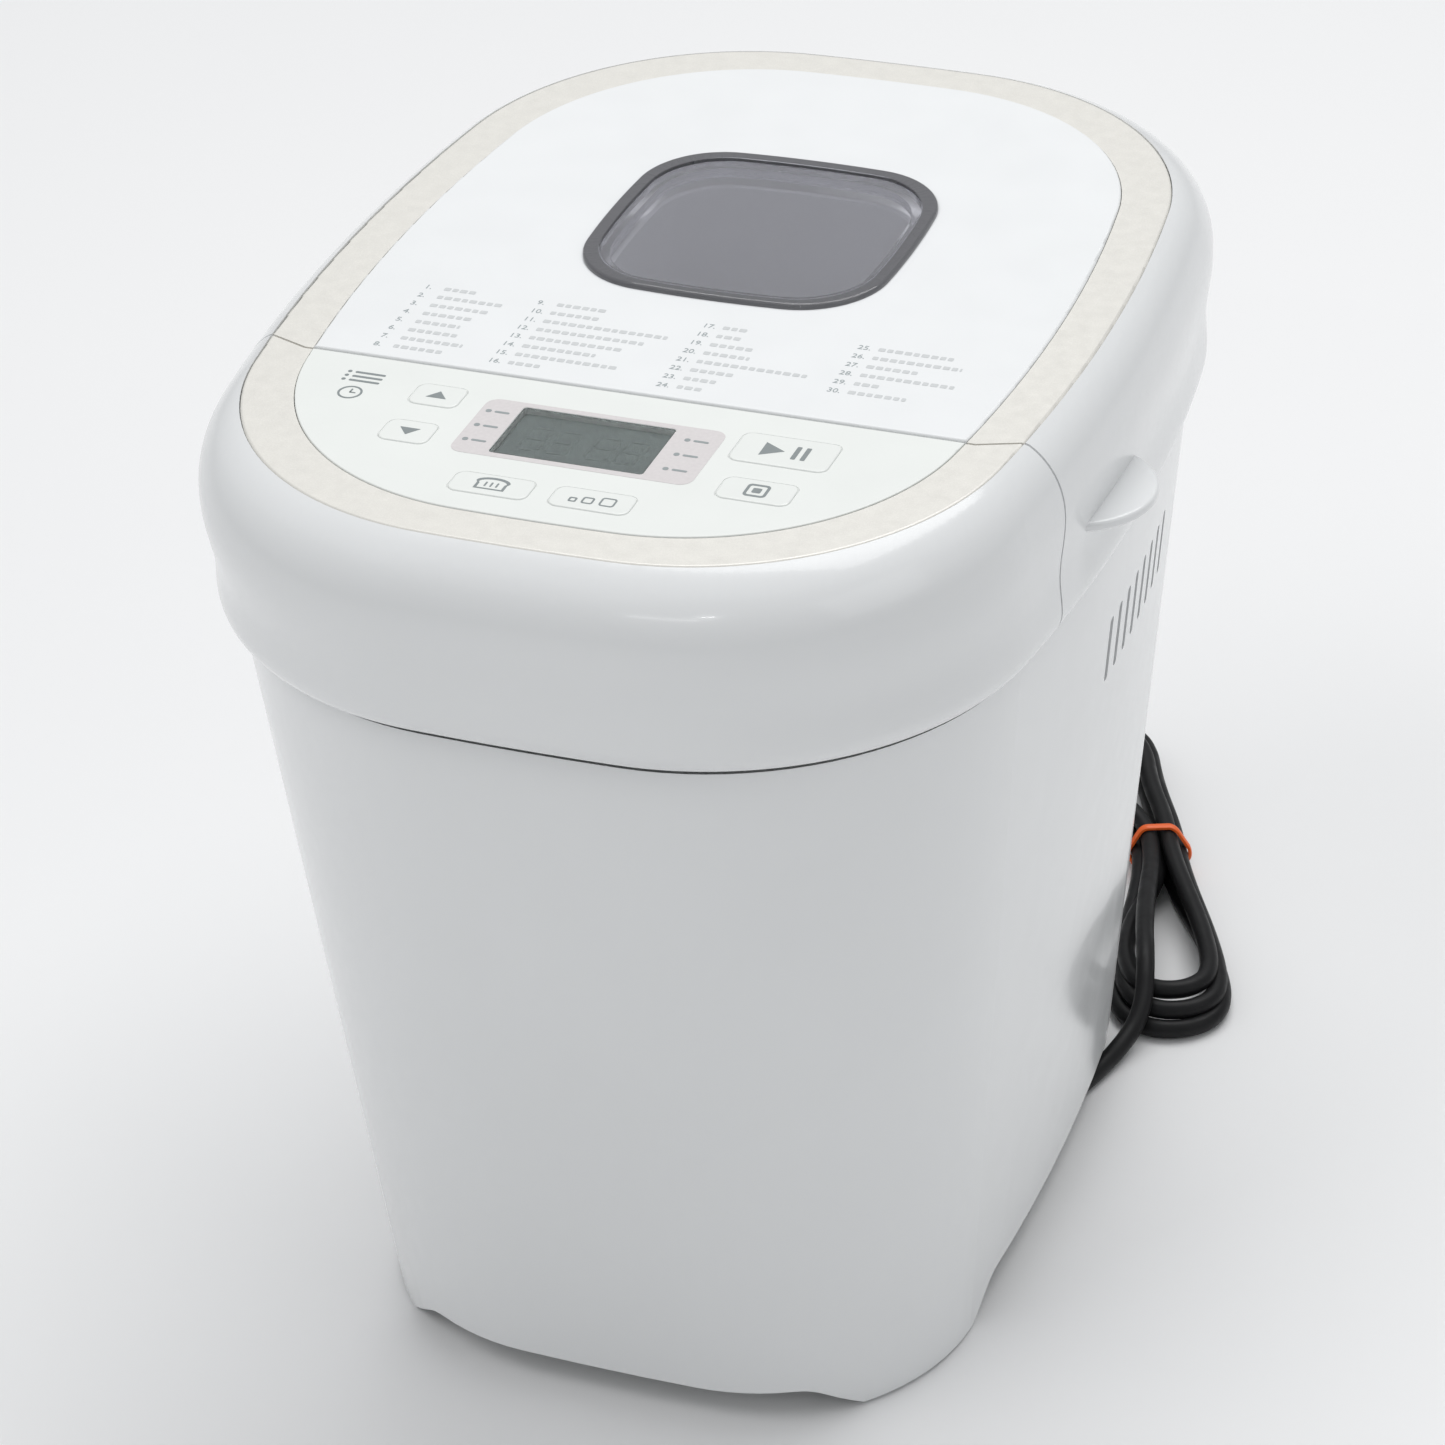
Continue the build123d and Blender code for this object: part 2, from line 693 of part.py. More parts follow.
export_step(control_panel.part, "parts/control_panel.step")

with BuildPart() as lcd_window:
    with BuildSketch(Plane.XY.offset(CONTROL_TOP - LCD_GLASS)):
        with Locations((LCD_X, LCD_Y)):
            RectangleRounded(
                LCD_WIDTH - 2 * LCD_GLASS_GAP, LCD_DEPTH - 2 * LCD_GLASS_GAP, LCD_ROUND - LCD_GLASS_GAP
            )
    extrude(amount=LCD_GLASS)
lcd_window.part.label = "lcd_window"
export_step(lcd_window.part, "parts/lcd_window.step")

with BuildPart() as lcd_module:
    with BuildSketch(Plane.XY.offset(LCD_MODULE_BOTTOM)):
        with Locations((LCD_X, LCD_Y)):
            Rectangle(LCD_WIDTH + 2 * LCD_MODULE_MARGIN, LCD_DEPTH + 2 * LCD_MODULE_MARGIN)
    extrude(amount=BED_Z - LCD_MODULE_BOTTOM)
    with BuildSketch(Plane.XY.offset(BED_Z)):
        with Locations((LCD_X, LCD_Y)):
            Rectangle(LCD_WIDTH - 2 * LCD_CELL_INSET, LCD_DEPTH - 2 * LCD_CELL_INSET)
    extrude(amount=LCD_MODULE_TOP - BED_Z)
lcd_module.part.label = "lcd_module"
export_step(lcd_module.part, "parts/lcd_module.step")

for key_name, (key_x, key_y, key_width, key_depth) in KEYS.items():
    with BuildPart() as key_pad:
        with BuildSketch(Plane.XY.offset(KEY_CAP_BOTTOM)):
            with Locations((key_x, key_y)):
                RectangleRounded(key_width, key_depth, KEY_ROUND - KEY_GAP)
        extrude(amount=CONTROL_TOP + KEY_PROUD - KEY_CAP_BOTTOM)
        fillet(key_pad.faces().sort_by(Axis.Z)[-1].edges(), radius=KEY_EDGE)
        with BuildSketch(Plane.XY.offset(KEY_STEM_BOTTOM)):
            with Locations((key_x, key_y)):
                Circle(KEY_STEM_R)
        extrude(amount=KEY_CAP_BOTTOM - KEY_STEM_BOTTOM)
    key_pad.part.label = key_name
    export_step(key_pad.part, f"parts/{key_name}.step")

with BuildPart() as control_board:
    with BuildSketch(Plane.XY.offset(BOARD_Z)):
        with Locations((0, BOARD_Y)):
            RectangleRounded(BOARD_WIDTH, BOARD_DEPTH, BOARD_ROUND)
    extrude(amount=BOARD_THICK)
    with BuildSketch(Plane.XY.offset(BOARD_Z + BOARD_THICK)):
        with Locations(*KEY_CENTRES):
            Rectangle(SWITCH_SIDE, SWITCH_SIDE)
    extrude(amount=SWITCH_HEIGHT)
    with BuildSketch(Plane.XY.offset(BOARD_Z)):
        with Locations(*CONNECTOR_POINTS):
            Rectangle(CONNECTOR_WIDTH, CONNECTOR_DEPTH)
    extrude(amount=-CONNECTOR_DROP)
control_board.part.label = "control_board"
export_step(control_board.part, "parts/control_board.step")

# ---------------------------------------------------------------- lid
with BuildPart() as lid_cavity:
    upper_loft(WALL, CROWN)
    keep_side(SPLIT_GAP + WALL, REAR, LOW_CUT, HIGH_CUT)

with BuildPart() as lid_shell:
    upper_loft(0, 0)
    keep_side(SPLIT_GAP, REAR, LOW_CUT, HIGH_CUT)
    with BuildSketch(Plane.XY.offset(TAB_Z)):
        for side in (1, -1):
            with BuildLine():
                tab_start = (side * TAB_ROOT_X, TAB_MIDDLE_Y - TAB_HALF)
                tab_end = (side * TAB_ROOT_X, TAB_MIDDLE_Y + TAB_HALF)
                ThreePointArc(tab_start, (side * TAB_TIP_X, TAB_MIDDLE_Y), tab_end)
                Line(tab_end, tab_start)
            make_face()
    extrude(amount=TAB_THICK)
    tab_rims = [
        edge
        for edge in lid_shell.edges().filter_by(GeomType.CIRCLE)
        if abs(edge.center().X) > WIDE_HALF_X and abs(edge.center().Z - TAB_Z) < 2 * TAB_THICK
    ]
    fillet(tab_rims, radius=TAB_EDGE)
    add(lid_cavity.part, mode=Mode.SUBTRACT)
    with BuildSketch(Plane.XY.offset(BED_Z)):
        bowed_outline(RING_HALF_X + TRIM_GAP, RING_HALF_Y + TRIM_GAP, SOFT)
    extrude(amount=PAST, mode=Mode.SUBTRACT)
    with BuildSketch(Plane.XY.offset(BED_Z - BED_CUT)):
        with Locations((0, OVEN_Y)):
            RectangleRounded(
                2 * (WINDOW_HALF_X - WINDOW_RIM + TRIM_GAP),
                2 * (WINDOW_HALF_Y - WINDOW_RIM + TRIM_GAP),
                WINDOW_HALF_X / 2,
            )
    extrude(amount=PAST, mode=Mode.SUBTRACT)
lid_shell.part.label = "lid_shell"
export_step(lid_shell.part, "parts/lid_shell.step")

with BuildPart() as lid_trim_ring:
    with BuildSketch(Plane.XY.offset(BED_Z)):
        bowed_outline(RING_HALF_X, RING_HALF_Y, SOFT)
    extrude(amount=RIM_Z - BED_Z)
    fillet(lid_trim_ring.faces().sort_by(Axis.Z)[-1].edges(), radius=TRIM_EDGE)
    with BuildSketch(Plane.XY.offset(BED_Z)):
        bowed_outline(PANEL_HALF_X, PANEL_HALF_Y, SOFT)
    extrude(amount=RIM_Z - BED_Z, mode=Mode.SUBTRACT)
    keep_side(SPLIT_GAP, REAR, LOW_CUT, HIGH_CUT)
lid_trim_ring.part.label = "lid_trim_ring"
export_step(lid_trim_ring.part, "parts/lid_trim_ring.step")


def window_outline(inset):
    """Bowed square outline of the window, drawn inward by inset."""
    bowed_outline(WINDOW_HALF_X - inset, WINDOW_HALF_Y - inset, SQUARISH)


def window_plane(height):
    """Plane at a height, centred on the window and on the oven."""
    return Plane(origin=(0, OVEN_Y, height))


with BuildPart() as lid_top_panel:
    with BuildSketch(Plane.XY.offset(BED_Z)):
        bowed_outline(PANEL_HALF_X - TRIM_GAP, PANEL_HALF_Y - TRIM_GAP, SOFT)
    extrude(amount=LID_PANEL_TOP - BED_Z)
    keep_side(SPLIT_GAP, REAR, LOW_CUT, HIGH_CUT)
    fillet(lid_top_panel.faces().sort_by(Axis.Z)[-1].edges(), radius=LID_PANEL_EDGE)
    with BuildSketch(window_plane(BED_Z)):
        window_outline(WINDOW_RIM - TRIM_GAP)
    extrude(amount=LID_PANEL_TOP - BED_Z, mode=Mode.SUBTRACT)
lid_top_panel.part.label = "lid_top_panel"
export_step(lid_top_panel.part, "parts/lid_top_panel.step")

with BuildPart() as window_lens:
    with BuildSketch(window_plane(LID_PANEL_TOP)):
        window_outline(0)
    extrude(amount=WINDOW_PROUD)
    fillet(window_lens.faces().sort_by(Axis.Z)[-1].edges(), radius=LENS_EDGE)
    with BuildSketch(window_plane(LID_PANEL_TOP)):
        window_outline(WINDOW_RIM)
    extrude(amount=-LENS_SKIRT)
    with BuildSketch(window_plane(LID_PANEL_TOP + WINDOW_PROUD)):
        window_outline(WINDOW_RIM)
    extrude(amount=-LENS_DISH, mode=Mode.SUBTRACT)
    with BuildSketch(window_plane(LID_PANEL_TOP + WINDOW_PROUD - LENS_DISH - LENS_THICK)):
        window_outline(WINDOW_RIM + LENS_THICK)
    extrude(amount=-PAST, mode=Mode.SUBTRACT)
window_lens.part.label = "window_lens"
export_step(window_lens.part, "parts/window_lens.step")

GLASS_Z = PLATE_Z + PLATE_THICK
FRAME_BOTTOM = GLASS_Z + GLASS_THICK + SEAL_THICK

with BuildPart() as window_frame:
    with BuildSketch(window_plane(FRAME_BOTTOM)):
        window_outline(0)
    extrude(amount=FRAME_FLANGE)
    with BuildSketch(window_plane(FRAME_BOTTOM)):
        window_outline(WINDOW_RIM + LENS_THICK - FRAME_WALL)
    extrude(amount=BED_Z - CROWN - FRAME_GAP - FRAME_BOTTOM)
    with BuildSketch(window_plane(FRAME_BOTTOM)):
        window_outline(WINDOW_RIM + LENS_THICK)
    extrude(amount=BED_Z - FRAME_BOTTOM, mode=Mode.SUBTRACT)
window_frame.part.label = "window_frame"
export_step(window_frame.part, "parts/window_frame.step")

with BuildPart() as lid_inner_plate:
    with BuildSketch(Plane.XY.offset(PLATE_Z)):
        plate_half_x, plate_half_y = upper_half(PLATE_Z)
        bowed_outline(plate_half_x - WALL - PLATE_GAP, plate_half_y - WALL - PLATE_GAP, SOFT)
    extrude(amount=PLATE_THICK)
    keep_side(SPLIT_GAP + WALL + PLATE_SPLIT_GAP, REAR, LOW_CUT, HIGH_CUT)
    with BuildSketch(window_plane(PLATE_Z)):
        window_outline(WINDOW_RIM + LENS_THICK)
        with Locations((0, 2 * PAN_HALF_Y + STEAM_BEYOND)):
            with GridLocations(STEAM_PITCH, 0, STEAM_SLOTS, 1):
                SlotOverall(STEAM_LENGTH, STEAM_WIDTH, rotation=90)
    extrude(amount=PLATE_THICK, mode=Mode.SUBTRACT)
lid_inner_plate.part.label = "lid_inner_plate"
export_step(lid_inner_plate.part, "parts/lid_inner_plate.step")

with BuildPart() as inner_window_glass:
    with BuildSketch(window_plane(GLASS_Z)):
        bowed_outline(GLASS_HALF_X, GLASS_HALF_Y, SQUARISH)
    extrude(amount=GLASS_THICK)
inner_window_glass.part.label = "inner_window_glass"
export_step(inner_window_glass.part, "parts/inner_window_glass.step")

with BuildPart() as window_seal:
    with BuildSketch(window_plane(GLASS_Z + GLASS_THICK)):
        bowed_outline(GLASS_HALF_X - SEAL_INSET, GLASS_HALF_Y - SEAL_INSET, SQUARISH)
    extrude(amount=SEAL_THICK)
    with BuildSketch(window_plane(GLASS_Z + GLASS_THICK)):
        seal_edge = SEAL_INSET + SEAL_WIDTH
        bowed_outline(GLASS_HALF_X - seal_edge, GLASS_HALF_Y - seal_edge, SQUARISH)
    extrude(amount=SEAL_THICK, mode=Mode.SUBTRACT)
window_seal.part.label = "window_seal"
export_step(window_seal.part, "parts/window_seal.step")

# ---------------------------------------------------------------- lid hinge
HINGE_SIDES = (-HINGE_X, HINGE_X)
LID_KNUCKLE_OFFSET = (KNUCKLE_LENGTH + LID_KNUCKLE) / 2 + KNUCKLE_GAP
LID_KNUCKLE_CENTRES = [x + step for x in HINGE_SIDES for step in (-LID_KNUCKLE_OFFSET, LID_KNUCKLE_OFFSET)]


def hinge_leaf(centres, length, rise):
    """Knuckles on the hinge axis with leaves that run up or down the wall by rise."""
    for centre in centres:
        with BuildSketch(Plane.YZ.offset(centre - length / 2)) as knuckle:
            with Locations((HINGE_Y, HINGE_Z)):
                Circle(KNUCKLE_R)
            with BuildLine():
                Polyline(
                    (HINGE_Y + KNUCKLE_R, HINGE_Z),
                    (HINGE_Y + KNUCKLE_R - LEAF_TAPER, HINGE_Z + rise),
                    (HINGE_Y - LEAF_ROOT, HINGE_Z + rise),
                    (HINGE_Y - LEAF_ROOT, HINGE_Z + rise / LEAF_STEP),
                    (HINGE_Y, HINGE_Z),
                    close=True,
                )
            make_face()
        extrude(knuckle.sketch, amount=length)


def pin_holes(radius):
    """Hole along the hinge axis, right through."""
    with BuildSketch(Plane.YZ.offset(-WIDE_HALF_X)) as bore:
        with Locations((HINGE_Y, HINGE_Z)):
            Circle(radius)
    extrude(bore.sketch, amount=2 * WIDE_HALF_X, mode=Mode.SUBTRACT)


with BuildPart() as lower_solid:
    lower_loft(SKIRT_Z, SEAM_Z, 0)

with BuildPart() as body_hinge_brackets:
    hinge_leaf(HINGE_SIDES, KNUCKLE_LENGTH, -LEAF_REACH)
    add(lower_solid.part, mode=Mode.SUBTRACT)
    pin_holes(PIN_R + RUNNING)
body_hinge_brackets.part.label = "body_hinge_brackets"
export_step(body_hinge_brackets.part, "parts/body_hinge_brackets.step")

with BuildPart() as upper_solid:
    upper_loft(0, 0)

with BuildPart() as lid_hinge_brackets:
    hinge_leaf(LID_KNUCKLE_CENTRES, LID_KNUCKLE, LEAF_REACH)
    add(upper_solid.part, mode=Mode.SUBTRACT)
    pin_holes(PIN_R + RUNNING)
lid_hinge_brackets.part.label = "lid_hinge_brackets"
export_step(lid_hinge_brackets.part, "parts/lid_hinge_brackets.step")

with BuildPart() as hinge_pins:
    pin_length = KNUCKLE_LENGTH + 2 * LID_KNUCKLE + 2 * KNUCKLE_GAP
    for pin_x in HINGE_SIDES:
        with BuildSketch(Plane.YZ.offset(pin_x - pin_length / 2)):
            with Locations((HINGE_Y, HINGE_Z)):
                Circle(PIN_R)
        extrude(amount=pin_length)
hinge_pins.part.label = "hinge_pins"
export_step(hinge_pins.part, "parts/hinge_pins.step")


# ---------------------------------------------------------------- baking chamber
def oven_plane(height):
    """Horizontal plane centred on the drive axis."""
    return Plane(origin=(0, OVEN_Y, height))


with BuildPart() as oven_chamber:
    with BuildSketch(oven_plane(CHAMBER_FLOOR)):
        RectangleRounded(2 * CHAMBER_HALF_X, 2 * CHAMBER_HALF_Y, CHAMBER_ROUND)
    extrude(amount=DECK_Z + DECK_THICK - CHAMBER_FLOOR)
    with BuildSketch(oven_plane(DECK_Z + DECK_THICK)):
        RectangleRounded(2 * (CHAMBER_HALF_X + FLANGE), 2 * (CHAMBER_HALF_Y + FLANGE), CHAMBER_ROUND + FLANGE)
    extrude(amount=SHEET)
    with BuildSketch(oven_plane(CHAMBER_FLOOR + SHEET)):
        RectangleRounded(2 * (CHAMBER_HALF_X - SHEET), 2 * (CHAMBER_HALF_Y - SHEET), CHAMBER_ROUND - SHEET)
    extrude(amount=DECK_Z + DECK_THICK - CHAMBER_FLOOR, mode=Mode.SUBTRACT)
    with BuildSketch(oven_plane(CHAMBER_FLOOR)):
        Circle(SHAFT_HOLE_R)
    extrude(amount=SHEET, mode=Mode.SUBTRACT)
    with BuildSketch(Plane.XZ.offset(-OVEN_Y)):
        with Locations((-ELEMENT_LEG_X, ELEMENT_Z), (ELEMENT_LEG_X, ELEMENT_Z)):
            Circle(BUSHING_R + RUNNING)
        with Locations((PROBE_X, PROBE_Z)):
            Circle(PROBE_R + RUNNING)
    extrude(amount=CHAMBER_HALF_Y + PAST, mode=Mode.SUBTRACT)
oven_chamber.part.label = "oven_chamber"
export_step(oven_chamber.part, "parts/oven_chamber.step")

ELEMENT_POINTS = (
    (-ELEMENT_LEG_X, ELEMENT_LEG_END, ELEMENT_Z),
    (-ELEMENT_LEG_X, OVEN_Y - ELEMENT_HALF_Y, ELEMENT_Z),
    (-ELEMENT_HALF_X, OVEN_Y - ELEMENT_HALF_Y, ELEMENT_Z),
    (-ELEMENT_HALF_X, OVEN_Y + ELEMENT_HALF_Y, ELEMENT_Z),
    (ELEMENT_HALF_X, OVEN_Y + ELEMENT_HALF_Y, ELEMENT_Z),
    (ELEMENT_HALF_X, OVEN_Y - ELEMENT_HALF_Y, ELEMENT_Z),
    (ELEMENT_LEG_X, OVEN_Y - ELEMENT_HALF_Y, ELEMENT_Z),
    (ELEMENT_LEG_X, ELEMENT_LEG_END, ELEMENT_Z),
)
with BuildPart() as heating_element:
    element_bends = [ELEMENT_LEG_ROUND] + 4 * [ELEMENT_ROUND] + [ELEMENT_LEG_ROUND]
    round_tube(ELEMENT_POINTS, element_bends, ELEMENT_R)
heating_element.part.label = "heating_element"
export_step(heating_element.part, "parts/heating_element.step")

with BuildPart() as element_bushings:
    with BuildSketch(Plane.XZ.offset(CHAMBER_HALF_Y - OVEN_Y - BUSHING_INSIDE)):
        with Locations((-ELEMENT_LEG_X, ELEMENT_Z), (ELEMENT_LEG_X, ELEMENT_Z)):
            Circle(BUSHING_R)
            Circle(ELEMENT_R + ELEMENT_GAP, mode=Mode.SUBTRACT)
    extrude(amount=BUSHING_LENGTH)
    with BuildSketch(Plane.XZ.offset(CHAMBER_HALF_Y - OVEN_Y)):
        with Locations((-ELEMENT_LEG_X, ELEMENT_Z), (ELEMENT_LEG_X, ELEMENT_Z)):
            Circle(BUSHING_R + BUSHING_COLLAR)
            Circle(ELEMENT_R + ELEMENT_GAP, mode=Mode.SUBTRACT)
    extrude(amount=BUSHING_COLLAR)
element_bushings.part.label = "element_bushings"
export_step(element_bushings.part, "parts/element_bushings.step")

with BuildPart() as temperature_probe:
    with BuildSketch(Plane.XZ.offset(CHAMBER_HALF_Y - OVEN_Y - PROBE_INSIDE)):
        with Locations((PROBE_X, PROBE_Z)):
            Circle(PROBE_R)
    extrude(amount=PROBE_LENGTH)
    with BuildSketch(Plane.XZ.offset(CHAMBER_HALF_Y - OVEN_Y)):
        with Locations((PROBE_X, PROBE_Z)):
            RectangleRounded(PROBE_PLATE_WIDTH, PROBE_PLATE_HEIGHT, PROBE_PLATE_ROUND)
    extrude(amount=PROBE_PLATE_THICK)
temperature_probe.part.label = "temperature_probe"
export_step(temperature_probe.part, "parts/temperature_probe.step")

with BuildPart() as pan_socket:
    with BuildSketch(oven_plane(CHAMBER_FLOOR + SHEET)):
        Circle(SOCKET_OUT_R)
        Circle(SOCKET_IN_R, mode=Mode.SUBTRACT)
    extrude(amount=SOCKET_TOP - CHAMBER_FLOOR - SHEET)
    with BuildSketch(oven_plane(SOCKET_TOP - HOOK_THICK)):
        with BuildLine():
            reach = FOOT_R + HOOK_GAP
            edge_x = SOCKET_OUT_R * cos(radians(HOOK_TURN))
            edge_y = SOCKET_OUT_R * sin(radians(HOOK_TURN))
            inner_y = reach * sin(radians(HOOK_TURN))
            Polyline((reach, -inner_y), (edge_x, -edge_y), (edge_x, edge_y), (reach, inner_y), close=True)
        make_face()
    extrude(amount=HOOK_THICK)
    mirror(about=Plane.YZ)
pan_socket.part.label = "pan_socket"
export_step(pan_socket.part, "parts/pan_socket.step")

# ---------------------------------------------------------------- bread pan
with BuildPart() as pan_hollow:
    with BuildSketch(oven_plane(PAN_BOTTOM + PAN_WALL)):
        RectangleRounded(2 * (PAN_HALF_X - PAN_WALL), 2 * (PAN_HALF_Y - PAN_WALL), PAN_ROUND - PAN_WALL)
    extrude(amount=PAN_TOP - PAN_BOTTOM)
    fillet(pan_hollow.faces().sort_by(Axis.Z)[0].edges(), radius=PAN_HEEL - PAN_WALL)

with BuildPart() as bread_pan:
    with BuildSketch(oven_plane(PAN_BOTTOM)):
        RectangleRounded(2 * PAN_HALF_X, 2 * PAN_HALF_Y, PAN_ROUND)
    extrude(amount=PAN_TOP - PAN_BOTTOM)
    fillet(bread_pan.faces().sort_by(Axis.Z)[0].edges(), radius=PAN_HEEL)
    with BuildSketch(oven_plane(PAN_TOP - PAN_LIP)):
        RectangleRounded(2 * (PAN_HALF_X + PAN_LIP), 2 * (PAN_HALF_Y + PAN_LIP), PAN_ROUND + PAN_LIP)
    extrude(amount=PAN_LIP)
    fillet(bread_pan.faces().sort_by(Axis.Z)[-1].edges(), radius=PAN_RIM_ROUND)
    add(pan_hollow.part, mode=Mode.SUBTRACT)
    with BuildSketch(oven_plane(PAN_BOTTOM)):
        Circle(BUSH_R + RUNNING)
    extrude(amount=BUSH_CUT, mode=Mode.SUBTRACT)
bread_pan.part.label = "bread_pan"
export_step(bread_pan.part, "parts/bread_pan.step")

with BuildPart() as pan_foot:
    with BuildSketch(oven_plane(FOOT_BOTTOM)):
        Circle(FOOT_R)
    extrude(amount=PAN_BOTTOM - FOOT_BOTTOM)
    with BuildSketch(oven_plane(FOOT_BOTTOM)):
        Circle(FOOT_HOLLOW_R)
    extrude(amount=PAN_BOTTOM - FOOT_BOTTOM - FOOT_TOP_THICK, mode=Mode.SUBTRACT)
    with BuildSketch(oven_plane(CHAMBER_FLOOR + LUG_RISE)):
        with BuildLine():
            lug_r = FOOT_R + LUG_REACH
            lug_y = lug_r * sin(radians(LUG_TURN))
            root = FOOT_R - LUG_ROOT
            Polyline((root, -lug_y), (lug_r, -lug_y), (lug_r, lug_y), (root, lug_y), close=True)
        make_face()
    extrude(amount=LUG_THICK)
    mirror(about=Plane.YZ)
    with BuildSketch(oven_plane(PAN_BOTTOM)):
        Circle(BUSH_R + RUNNING)
    extrude(amount=-BUSH_CUT, mode=Mode.SUBTRACT)
pan_foot.part.label = "pan_foot"
export_step(pan_foot.part, "parts/pan_foot.step")

with BuildPart() as pan_bushing:
    with BuildSketch(oven_plane(BUSH_BOTTOM)):
        Circle(BUSH_R)
    extrude(amount=PAN_BOTTOM + PAN_WALL - BUSH_BOTTOM)
    with BuildSketch(oven_plane(PAN_BOTTOM + PAN_WALL)):
        Circle(BUSH_FLANGE_R)
    extrude(amount=BUSH_FLANGE)
    with BuildSketch(oven_plane(BUSH_BOTTOM)):
        Circle(SHAFT_R + RUNNING)
    extrude(amount=PAST, mode=Mode.SUBTRACT)
pan_bushing.part.label = "pan_bushing"
export_step(pan_bushing.part, "parts/pan_bushing.step")

with BuildPart() as handle_pivots:
    with BuildSketch(Plane.YZ.offset(PAN_HALF_X)):
        with Locations((OVEN_Y, BAIL_Z)):
            Circle(PIVOT_BOSS_R)
    extrude(amount=PIVOT_BOSS)
    with BuildSketch(Plane.YZ.offset(PAN_HALF_X)):
        with Locations((OVEN_Y, BAIL_Z)):
            Circle(PIVOT_PIN_R)
    extrude(amount=BAIL_HALF_X + BAIL_R - PAN_HALF_X)
    mirror(about=Plane.YZ)
handle_pivots.part.label = "handle_pivots"
export_step(handle_pivots.part, "parts/handle_pivots.step")

BAIL_POINTS = (
    (-BAIL_HALF_X, OVEN_Y, BAIL_Z),
    (-BAIL_HALF_X, OVEN_Y + BAIL_REACH, BAIL_Z),
    (BAIL_HALF_X, OVEN_Y + BAIL_REACH, BAIL_Z),
    (BAIL_HALF_X, OVEN_Y, BAIL_Z),
)
with BuildPart() as pan_handle:
    round_tube(BAIL_POINTS, 2 * [BAIL_ROUND], BAIL_R)
    for side in (-BAIL_HALF_X, BAIL_HALF_X):
        with BuildSketch(Plane.YZ.offset(side - BAIL_R)):
            with Locations((OVEN_Y, BAIL_Z)):
                Circle(BAIL_EYE_R)
        extrude(amount=2 * BAIL_R)
    with BuildSketch(Plane.YZ.offset(-WIDE_HALF_X)):
        with Locations((OVEN_Y, BAIL_Z)):
            Circle(PIVOT_PIN_R + RUNNING)
    extrude(amount=2 * WIDE_HALF_X, mode=Mode.SUBTRACT)
pan_handle.part.label = "pan_handle"
export_step(pan_handle.part, "parts/pan_handle.step")

with BuildPart() as paddle_shaft:
    with BuildSketch(oven_plane(PADDLE_SHAFT_BOTTOM)):
        Circle(SHAFT_R)
    extrude(amount=PADDLE_SHAFT_LENGTH)
    chamfer(paddle_shaft.faces().sort_by(Axis.Z)[-1].edges(), length=PADDLE_SHAFT_EDGE)
paddle_shaft.part.label = "paddle_shaft"
export_step(paddle_shaft.part, "parts/paddle_shaft.step")

with BuildPart() as pan_coupling:
    with BuildSketch(oven_plane(PADDLE_SHAFT_BOTTOM)):
        RectangleRounded(PAN_COUPLING_WIDTH, PAN_COUPLING_LENGTH, PAN_COUPLING_ROUND)
        Circle(PAN_COUPLING_HUB_R)
        Circle(SHAFT_R + RUNNING, mode=Mode.SUBTRACT)
    extrude(amount=PAN_COUPLING_THICK)
pan_coupling.part.label = "pan_coupling"
export_step(pan_coupling.part, "parts/pan_coupling.step")

with BuildPart() as kneading_paddle:
    with BuildSketch(oven_plane(PADDLE_BOTTOM)):
        Circle(PADDLE_HUB_R)
    extrude(amount=PADDLE_HUB_HEIGHT)
    with BuildSketch(Plane.XZ.offset(-OVEN_Y - PADDLE_BLADE_THICK / 2)):
        with BuildLine():
            Polyline(*PADDLE_BLADE, close=True)
        make_face()
        fillet(vertices(), radius=PADDLE_BLADE_ROUND)
    extrude(amount=PADDLE_BLADE_THICK)
    with BuildSketch(oven_plane(PADDLE_BOTTOM)):
        Circle(SHAFT_R + RUNNING)
    extrude(amount=2 * PADDLE_HUB_HEIGHT, mode=Mode.SUBTRACT)
kneading_paddle.part.label = "kneading_paddle"
export_step(kneading_paddle.part, "parts/kneading_paddle.step")

# ---------------------------------------------------------------- belt drive
with BuildPart() as chassis_plate:
    with BuildSketch(Plane.XY.offset(CHASSIS_Z)):
        RectangleRounded(CHASSIS_WIDTH, CHASSIS_DEPTH, CHASSIS_ROUND)
        with Locations((0, OVEN_Y)):
            Circle(BEARING_R + RUNNING, mode=Mode.SUBTRACT)
        with Locations((MOTOR_X, MOTOR_Y)):
            Circle(MOTOR_HOLE_R, mode=Mode.SUBTRACT)
    extrude(amount=CHASSIS_THICK)
chassis_plate.part.label = "chassis_plate"
export_step(chassis_plate.part, "parts/chassis_plate.step")

with BuildPart() as drive_bearing:
    with BuildSketch(oven_plane(BEARING_BOTTOM)):
        Circle(BEARING_R)
    extrude(amount=BEARING_LENGTH)
    with BuildSketch(oven_plane(CHASSIS_Z + CHASSIS_THICK)):
        Circle(BEARING_FLANGE_R)
    extrude(amount=BEARING_FLANGE)
    with BuildSketch(oven_plane(BEARING_BOTTOM)):
        Circle(SHAFT_R + RUNNING)
    extrude(amount=BEARING_LENGTH, mode=Mode.SUBTRACT)
drive_bearing.part.label = "drive_bearing"
export_step(drive_bearing.part, "parts/drive_bearing.step")

with BuildPart() as drive_shaft:
    with BuildSketch(oven_plane(DRIVE_SHAFT_BOTTOM)):
        Circle(SHAFT_R)
    extrude(amount=DRIVE_SHAFT_LENGTH)
drive_shaft.part.label = "drive_shaft"
export_step(drive_shaft.part, "parts/drive_shaft.step")

